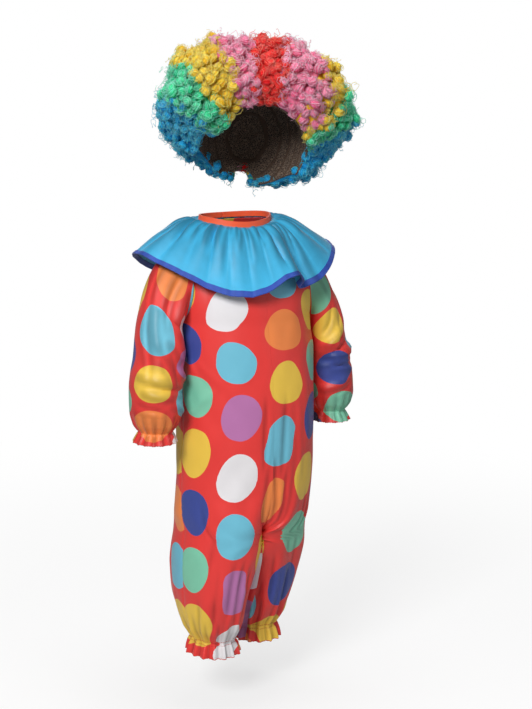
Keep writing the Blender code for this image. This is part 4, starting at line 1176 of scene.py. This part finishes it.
def hairMaterial(colour):
    # curled modacrylic fibre wound into rosettes; shade, which is painted shade and light, runs from the
    # shaded roots (0) to the lit tips (1)
    root, body, tip = (linear(value) for value in hairColours[colour])
    made, shader = newMaterial(colour + " modacrylic hair", hairLook)
    shade = addNode(made, "Attribute", attribute_name="shade")
    winding = addNode(made, "Attribute", attribute_name="winding")
    parts = addNode(made, "SeparateXYZ", (winding, "Vector"))
    place = addNode(made, "TexCoord")
    fibres = addNode(made, "TexNoise", Vector=(place, "Object"), Scale=1 / hairFibre["fibre"], Detail=2.0)
    angle = addNode(made, "Math", (parts, "Y"), (parts, "X"), operation="ARCTAN2")
    polar = addNode(made, "Math", (parts, "Z"), operation="ARCCOSINE")
    rings = addNode(made, "Math", polar, hairFibre["windings"], angle, operation="MULTIPLY_ADD")
    rings = addNode(made, "Math", fibres, hairFibre["stray"], rings, operation="MULTIPLY_ADD")
    strands = addNode(made, "Math", rings, operation="SINE")    # several strands side by side
    tone = addNode(made, "Math", strands, hairFibre["contrast"], (shade, "Fac"), operation="MULTIPLY_ADD")
    uneven = addNode(made, "Math", fibres, 0.5, operation="SUBTRACT")
    tone = addNode(made, "Math", uneven, hairFibre["uneven"], tone, operation="MULTIPLY_ADD")
    ramp = addNode(made, "ValToRGB", Fac=tone)
    stops = ramp.color_ramp.elements
    stops[0].position, stops[0].color = 0.0, root
    stops[1].position, stops[1].color = 1.0, tip
    stops.new(0.5).color = body
    plug(made, shader, "Base Color", ramp)
    relief = addNode(made, "Math", strands, fibres, operation="ADD")
    plug(made, shader, "Normal", addNode(made, "Bump", Distance=hairFibre["depth"], Height=relief))
    return made


hairMaterials = {colour: hairMaterial(colour) for colour in hairColours}


def hairBase(name, low, high, colour):
    # the closed lumpy body of hair that the ringlets grow from
    columns, rows = max(8, round((high - low) / wig["baseStep"])), wig["baseRows"]
    pick = np.random.default_rng(200 + low)
    rolls = np.radians(np.linspace(low, high, columns + 1))[None, :]
    along = np.linspace(0, 1, rows + 1)[:, None]
    front = -np.radians(hairlineFront(np.abs(np.degrees(rolls))))
    pitch = front + (wig["end"] - front) * along
    rolls = rolls + 0 * pitch
    outer = placed(hairPoint(rolls, pitch, wig["base"] + pick.normal(0, wig["baseUneven"], pitch.shape)))
    inner = placed(hairPoint(rolls, pitch, np.full(pitch.shape, 0.015)))
    count = outer.shape[0] * outer.shape[1]
    index = np.arange(count).reshape(outer.shape[:2])
    a, b, c, d = index[:-1, :-1], index[1:, :-1], index[1:, 1:], index[:-1, 1:]
    faces = np.stack([a, b, c, d], axis=-1).reshape(-1, 4).tolist()
    faces += (np.stack([a, d, c, b], axis=-1) + count).reshape(-1, 4).tolist()
    border = np.concatenate([index[0], index[1:, -1], index[-1, -2::-1], index[-2:0:-1, 0]]).tolist()
    for here, ahead in zip(border, border[1:] + border[:1]):
        faces.append([here, ahead, ahead + count, here + count])
    points = np.concatenate([outer.reshape(-1, 3), inner.reshape(-1, 3)])
    # painted shade: the outer face of the base is dark, as under the ringlets, and its inner face darker
    # still
    shade = np.repeat([wig["baseShade"], wig["insideShade"]], count)
    return shadedMesh(name, points, faces, shade, np.tile([0.0, 0.0, 1.0], (2 * count, 1)), colour)


def shadedMesh(name, points, faces, shade, winding, colour):
    mesh = bpy.data.meshes.new(name)
    mesh.from_pydata(points.tolist(), [], faces)
    pointValues(mesh, "shade", shade)
    layer = mesh.attributes.new("winding", "FLOAT_VECTOR", "POINT")
    layer.data.foreach_set("vector", np.asarray(winding, dtype=np.float32).ravel())
    mesh.shade_smooth()
    return newPiece(name, mesh, hairMaterials[colour])


def rosettes(name, centres, axes, radii, shade, colour, pick):
    # one small flattened ball for each ringlet; its material winds the strands round it
    around, rows = 7, 5
    turn = np.linspace(0, 2 * math.pi, around, endpoint=False)[None, :]
    tilt = np.linspace(0, math.pi, rows + 1)[1:-1, None]
    ring = [np.sin(tilt) * np.cos(turn), np.sin(tilt) * np.sin(turn), np.cos(tilt) + 0 * turn]
    local = np.concatenate([[[0, 0, 1]], np.stack(ring, axis=-1).reshape(-1, 3), [[0, 0, -1]]])
    faces, last = [], len(local) - 1
    for column in range(around):
        ahead = (column + 1) % around
        faces.append((0, 1 + column, 1 + ahead))
        for row in range(rows - 2):
            start = 1 + row * around
            faces.append((start + column, start + around + column, start + around + ahead, start + ahead))
        start = last - around
        faces.append((start + ahead, start + column, last))
    side = unit(np.cross(axes, pick.normal(size=axes.shape)))
    other = np.cross(axes, side)
    uneven = 1 + pick.normal(0, 0.06, (len(centres), len(local), 1))
    shape = local * (1, 1, wig["flatness"]) * uneven * radii[:, None, None]
    points = centres[:, None] + shape[..., :1] * side[:, None] + shape[..., 1:2] * other[:, None]
    points = points + shape[..., 2:] * axes[:, None]
    starts = range(0, len(centres) * len(local), len(local))
    every = [tuple(corner + start for corner in face) for start in starts for face in faces]
    # painted light: each ball is lighter towards its outward pole
    lit = np.repeat(shade, len(local)) + 0.10 * np.tile(local[:, 2], len(centres))
    return shadedMesh(name, points.reshape(-1, 3), every, lit, np.tile(local, (len(centres), 1)), colour)


def wound(side, other, turn, radius):
    # steps round a ringlet's axis
    first, second = np.cos(turn) * radius, np.sin(turn) * radius
    return side[:, None] * first[..., None] + other[:, None] * second[..., None]


def coilLines(centres, axes, radii, coils, steps, pick):
    # coils of hair lying over a ringlet from its rim to its middle, like a rosette
    t = np.linspace(0, 1, steps)[None, :]
    side = unit(np.cross(axes, pick.normal(size=axes.shape)))
    other = np.cross(axes, side)
    lines = []
    for coil in range(coils):
        phase = 2 * math.pi * coil / coils + pick.uniform(-0.5, 0.5, (len(centres), 1))
        turn = phase + 2 * math.pi * wig["turnsPerCoil"] * t * pick.uniform(0.8, 1.15, (len(centres), 1))
        latitude = 1.9 - 1.65 * t + 0.10 * np.sin(1.6 * turn + phase)
        latitude = latitude + pick.normal(0, 0.05, (len(centres), 1))
        across = radii[:, None] * np.sin(latitude) * (1 + 0.07 * np.sin(2.7 * turn))
        rise = radii[:, None] * np.cos(latitude) * wig["flatness"]
        lines.append(centres[:, None] + wound(side, other, turn, across) + axes[:, None] * rise[..., None])
    return np.concatenate(lines)


def curlLines(centres, axes, radii, rises, turnsEach, steps, pick):
    # strands wound round a ringlet, wandering in and out
    t = np.linspace(0, 1, steps)[None, :]
    side = unit(np.cross(axes, pick.normal(size=axes.shape)))
    other = np.cross(axes, side)
    phase = pick.uniform(0, 2 * math.pi, (len(centres), 1))
    turn = phase + 2 * math.pi * turnsEach[:, None] * t
    radius = radii[:, None] * (1.08 - 0.30 * t + 0.13 * np.sin(turn * 1.7 + phase))
    rise = rises[:, None] * (t - 0.5) + 1.4 * mm * np.sin(2.3 * turn + phase)
    return centres[:, None] + wound(side, other, turn, radius) + axes[:, None] * rise[..., None]


# ringlets: pairs are the least and the most; sunk, tuft and loopRise are in millimetres, and onHairline,
# onNape and onLowerEdge share out a random number from 0 to 1
ringlet = {
    "tries": 2600, "onHairline": 0.16, "onNape": 0.24, "onLowerEdge": 0.86,
    "sunk": (-6.0, 1.0), "tuft": 6.0, "size": (0.78, 1.12), "ball": 0.92, "tone": 0.52,
    # lit and litOver are painted light: how much lighter a strand is for each litOver it lies farther out
    "loopSize": (0.9, 1.25), "loopRise": (1, 7), "loopTurns": (1.2, 2.2), "lit": 0.22, "litOver": 9 * mm,
}
# loose wisps; out, scatter, size and rise are in millimetres
wispy = {"share": 0.95, "out": (3, 8.5), "scatter": 4, "size": (2.4, 6.4), "rise": (2, 9),
         "turns": (0.8, 1.6), "steps": 15, "shade": 0.75}
# how far, in degrees, a border between two bands wanders where it meets the hairline
borderDrift = {-60: 5, -36: 9, 36: 24, 60: 12, 83: 3}


def scattered(low, high, number, pick, apart):
    # places for ringlets over a band: its outside, hairline, nape edge and, on the outermost, its lower edge
    lower = abs(low) > 100 or abs(high) > 100
    across = pick.uniform(-0.06, 1.06, number)
    family = pick.uniform(size=number)
    along = pick.uniform(0, 1, number)
    depth = np.ones(number)
    rim = family < ringlet["onHairline"]
    along, depth = np.where(rim, 0.0, along), np.where(rim, pick.uniform(0.15, 1.0, number), depth)
    nape = (family > ringlet["onHairline"]) & (family < ringlet["onNape"])
    along, depth = np.where(nape, 1.0, along), np.where(nape, pick.uniform(0.2, 1.0, number), depth)
    drift = ease(0.20, 0.02, along)
    start, stop = low + borderDrift.get(low, 0) * drift, high + borderDrift.get(high, 0) * drift
    roll = np.radians(start + (stop - start) * across)
    roll = np.clip(roll, *np.radians((-wig["sides"][0], wig["sides"][1])))
    if lower:
        edge = family > ringlet["onLowerEdge"]
        end = math.radians(-wig["sides"][0] if low < 0 else wig["sides"][1])
        roll, depth = np.where(edge, end, roll), np.where(edge, pick.uniform(0.2, 1.0, number), depth)
    front = fallsFrom(roll)
    spots = placed(hairPoint(roll, front + (wig["end"] - front) * along, depth))
    kept = []
    for index, spot in enumerate(spots):
        if not kept or np.min(np.linalg.norm(spots[kept] - spot, axis=1)) > apart:
            kept.append(index)
    return spots[kept]


def buildRinglets(name, colour, centres, outward, heart, pick):
    # a rosette for each ringlet, and strands wound round it
    count, coils = len(centres), wig["coils"]
    radii = wig["ballRadius"] * pick.uniform(*ringlet["size"], count)
    axes = unit(outward + pick.normal(0, 0.45, (count, 3)))
    tone = ringlet["tone"] + pick.normal(0, 0.08, count)
    # painted shade: the balls are a little darker than the strands wound over them
    balls = rosettes(name + "_rosettes", centres, axes, ringlet["ball"] * radii, tone - 0.04, colour, pick)
    steps = round(wig["turnsPerCoil"] * 9)
    leaning = unit(axes + pick.normal(0, 0.35, (count, 3)))
    lines = coilLines(centres, leaning, radii, coils, steps, pick)
    leaning = unit(axes + pick.normal(0, 0.8, (count, 3)))
    loopRadii = radii * pick.uniform(*ringlet["loopSize"], count)
    rises = pick.uniform(*ringlet["loopRise"], count) * mm
    loopTurns = pick.uniform(*ringlet["loopTurns"], count)
    loops = curlLines(centres, leaning, loopRadii, rises, loopTurns, steps, pick)
    lines = np.concatenate([lines, loops])
    # painted light and shade: strands lying farther out from the wig's middle are lighter, those deeper in
    # darker; each ringlet's tone also differs at random
    far = np.linalg.norm(lines - heart, axis=-1)
    near = np.linalg.norm(np.tile(centres, (coils + 1, 1)) - heart, axis=-1)[:, None]
    shades = 0.74 + (far - near) / ringlet["litOver"] * ringlet["lit"]
    shades = shades + np.tile(tone - ringlet["tone"], coils + 1)[:, None]
    shades = np.clip(shades + pick.normal(0, 0.09, (len(lines), 1)), 0, 1)
    thick = np.repeat([wig["strand"], 0.6 * wig["strand"]], [count * coils, count])[:, None]
    thick = np.broadcast_to(thick, far.shape)
    return balls, tubePiece(name + "_ringlets", lines, thick, 3, hairMaterials[colour], shade=shades)


def buildWisps(name, colour, centres, outward, pick):
    # loose short curls that stand off the ringlets
    loose = pick.choice(len(centres), round(wispy["share"] * len(centres)))
    count = len(loose)
    spots = centres[loose] + outward[loose] * pick.uniform(*wispy["out"], (count, 1)) * mm
    spots = spots + pick.normal(0, wispy["scatter"] * mm, spots.shape)
    axes = unit(pick.normal(size=(count, 3)))
    sizes, rises = (pick.uniform(*wispy[key], count) * mm for key in ("size", "rise"))
    lines = curlLines(spots, axes, sizes, rises, pick.uniform(*wispy["turns"], count), wispy["steps"], pick)
    thick, shades = (np.full(lines.shape[:2], value) for value in (wig["wisp"], wispy["shade"]))
    return tubePiece(name + "_wisps", lines, thick, 3, hairMaterials[colour], shade=shades)


def buildHair():
    heart = placed(np.array(wig["hairCentre"]))
    for number, (band, low, high) in enumerate(wigBands):
        colour, name = band.split("_")[0], "hair_" + band
        base = hairBase(name + "_base", low, high, colour)
        pick = np.random.default_rng(100 + number)
        centres = scattered(low, high, ringlet["tries"], pick, wig["apart"])
        outward = unit(centres - heart)
        tuft = np.sin(centres * (150, 130, 170) + (1.3, 0.4, 0)).prod(axis=1)
        sunk = pick.uniform(*ringlet["sunk"], len(centres)) + ringlet["tuft"] * tuft
        centres = centres + outward * sunk[:, None] * mm
        pieces = [*buildRinglets(name, colour, centres, outward, heart, pick)]
        pieces.append(buildWisps(name, colour, centres, outward, pick))
        finish(base, ["wig_hair_" + band])
        for piece in pieces:
            finish(piece)
        print(name, len(centres), "ringlets,", sum(len(piece.data.polygons) for piece in pieces), "faces")


net = {"weftGap": 13 * mm, "weftEdge": (0.72, 0.92), "cell": 2.6 * mm, "holeEdge": (0.05, 0.16),
       "cord": "#8a7564", "hole": "#35271f", "weft": "#5a4638", "depth": 0.6 * mm, "roughness": 0.85}


def netMaterial():
    # brown elastic net with the rows of wefts that the hair is sewn on by
    made, shader = newMaterial("brown elastic net", {"Roughness": net["roughness"]})
    place = addNode(made, "TexCoord")
    head = addNode(made, "Mapping", vector_type="TEXTURE", Vector=(place, "Object"), Location=wig["centre"],
                   Rotation=(0, wig["tilt"], wig["turn"]))
    parts = addNode(made, "SeparateXYZ", head)
    weft = addNode(made, "Math", (parts, "Y"), 2 * math.pi / net["weftGap"], operation="MULTIPLY")
    weft = addNode(made, "Math", weft, operation="SINE")
    weft = addNode(made, "MapRange", weft, *net["weftEdge"], interpolation_type="SMOOTHSTEP")
    mesh = addNode(made, "TexVoronoi", feature="DISTANCE_TO_EDGE", Vector=head, Scale=1 / net["cell"])
    holes = addNode(made, "MapRange", mesh, *net["holeEdge"])
    cord, hole, sewn = (linear(net[key]) for key in ("cord", "hole", "weft"))
    colour = addNode(made, "Mix", holes, data_type="RGBA", in6=cord, in7=hole)
    colour = addNode(made, "Mix", weft, data_type="RGBA", in6=(colour, 2), in7=sewn)
    plug(made, shader, "Base Color", (colour, 2))
    relief = addNode(made, "Math", weft, 2.0, operation="MULTIPLY")
    relief = addNode(made, "Math", relief, holes, operation="SUBTRACT")
    plug(made, shader, "Normal", addNode(made, "Bump", Distance=net["depth"], Height=relief))
    return made


buildHair()
bpy.data.objects["wig_cap"].material_slots[0].material = netMaterial()
print("wig made")


# studio: white sweep, soft light, and the camera at 2.5 m
studio = {
    "floorZ": -0.700, "sweep": (0.25, 1.6), "glow": 0.66, "bounce": 0.22, "roomLight": 0.20,
    "paperGrain": 333.333 * mm,
    # where each lamp stands, its size and its watts
    "lamps": {"key": ((-2.0, -1.9, 1.5), 1.0, 82), "fill": ((1.8, -2.4, 0.5), 2.0, 10),
              "top": ((0.1, -0.1, 2.6), 1.2, 38), "back": ((1.2, 2.4, 0.9), 1.6, 8)},
    "lampsAim": (0, 0, -0.15),
    "distance": 2.5, "height": 0.30, "azimuth": -27.0, "turn": -1.015, "pitch": 11.135, "lens": 90.69,
}


def paperMaterial():
    # matt white paper, which glows more the farther it is, and meets the room unseen
    look = {"Emission Color": (1, 1, 1, 1), "Specular IOR Level": 0.0, "Roughness": 0.9}
    made, shader = newMaterial("white paper sweep", look)
    place = addNode(made, "TexCoord")
    away = addNode(made, "VectorMath", (place, "Object"), operation="LENGTH")
    glow = addNode(made, "MapRange", (away, "Value"), *studio["sweep"], studio["glow"], 1.0,
                   interpolation_type="SMOOTHSTEP")
    grain = addNode(made, "TexNoise", Vector=(place, "Object"), Scale=1 / studio["paperGrain"])
    grain = addNode(made, "Math", grain, 0.02, operation="MULTIPLY")
    pale, grey = ((value, value, value, 1) for value in (0.93, 0.85))
    paper = addNode(made, "Mix", grain, data_type="RGBA", in6=pale, in7=grey)
    colour = addNode(made, "Mix", glow, data_type="RGBA", in6=(paper, 2), in7=(0, 0, 0, 1))
    plug(made, shader, "Base Color", (colour, 2))
    seen = addNode(made, "LightPath")
    seen = addNode(made, "Math", (seen, "Is Camera Ray"), studio["bounce"], operation="MAXIMUM")
    plug(made, shader, "Emission Strength", addNode(made, "Math", glow, seen, operation="MULTIPLY"))
    return made


def buildFloor():
    bpy.ops.mesh.primitive_plane_add(size=30, location=(0, 0, studio["floorZ"]))
    floor = bpy.context.active_object
    floor.name = "floor"
    floor.data.materials.append(paperMaterial())


def lightRoom():
    for name, (spot, size, power) in studio["lamps"].items():
        bpy.ops.object.light_add(type="AREA", location=spot)
        lamp = bpy.context.active_object
        lamp.name = name + " light"
        lamp.data.size = size
        lamp.data.energy = power
        aim = Vector(studio["lampsAim"]) - Vector(spot)
        lamp.rotation_euler = aim.to_track_quat("-Z", "Y").to_euler()
    world = bpy.data.worlds.new("white room")
    bpy.context.scene.world = world
    world.use_nodes = True
    background = world.node_tree.nodes["Background"]
    background.inputs["Color"].default_value = (1, 1, 1, 1)
    # the room looks white, and lights more softly than it looks
    seen = addNode(world, "LightPath")
    strength = addNode(world, "MapRange", (seen, "Is Camera Ray"), 0.0, 1.0, studio["roomLight"], 1.0)
    plug(world, background, "Strength", strength)


def addCamera():
    azimuth, turn = math.radians(studio["azimuth"]), math.radians(studio["turn"])
    pitch, distance = math.radians(studio["pitch"]), studio["distance"]
    bpy.ops.object.camera_add()
    camera = bpy.context.active_object
    camera.location = (math.sin(azimuth) * distance, -math.cos(azimuth) * distance, studio["height"])
    camera.rotation_euler = (math.pi / 2 - pitch, 0, azimuth + turn)
    camera.data.sensor_width = 36
    camera.data.lens = studio["lens"]
    bpy.context.scene.camera = camera
    bpy.context.scene.view_settings.view_transform = "Standard"
    bpy.context.scene.view_settings.look = "None"


buildFloor()
lightRoom()
addCamera()
print("studio made")
print("scene finished")
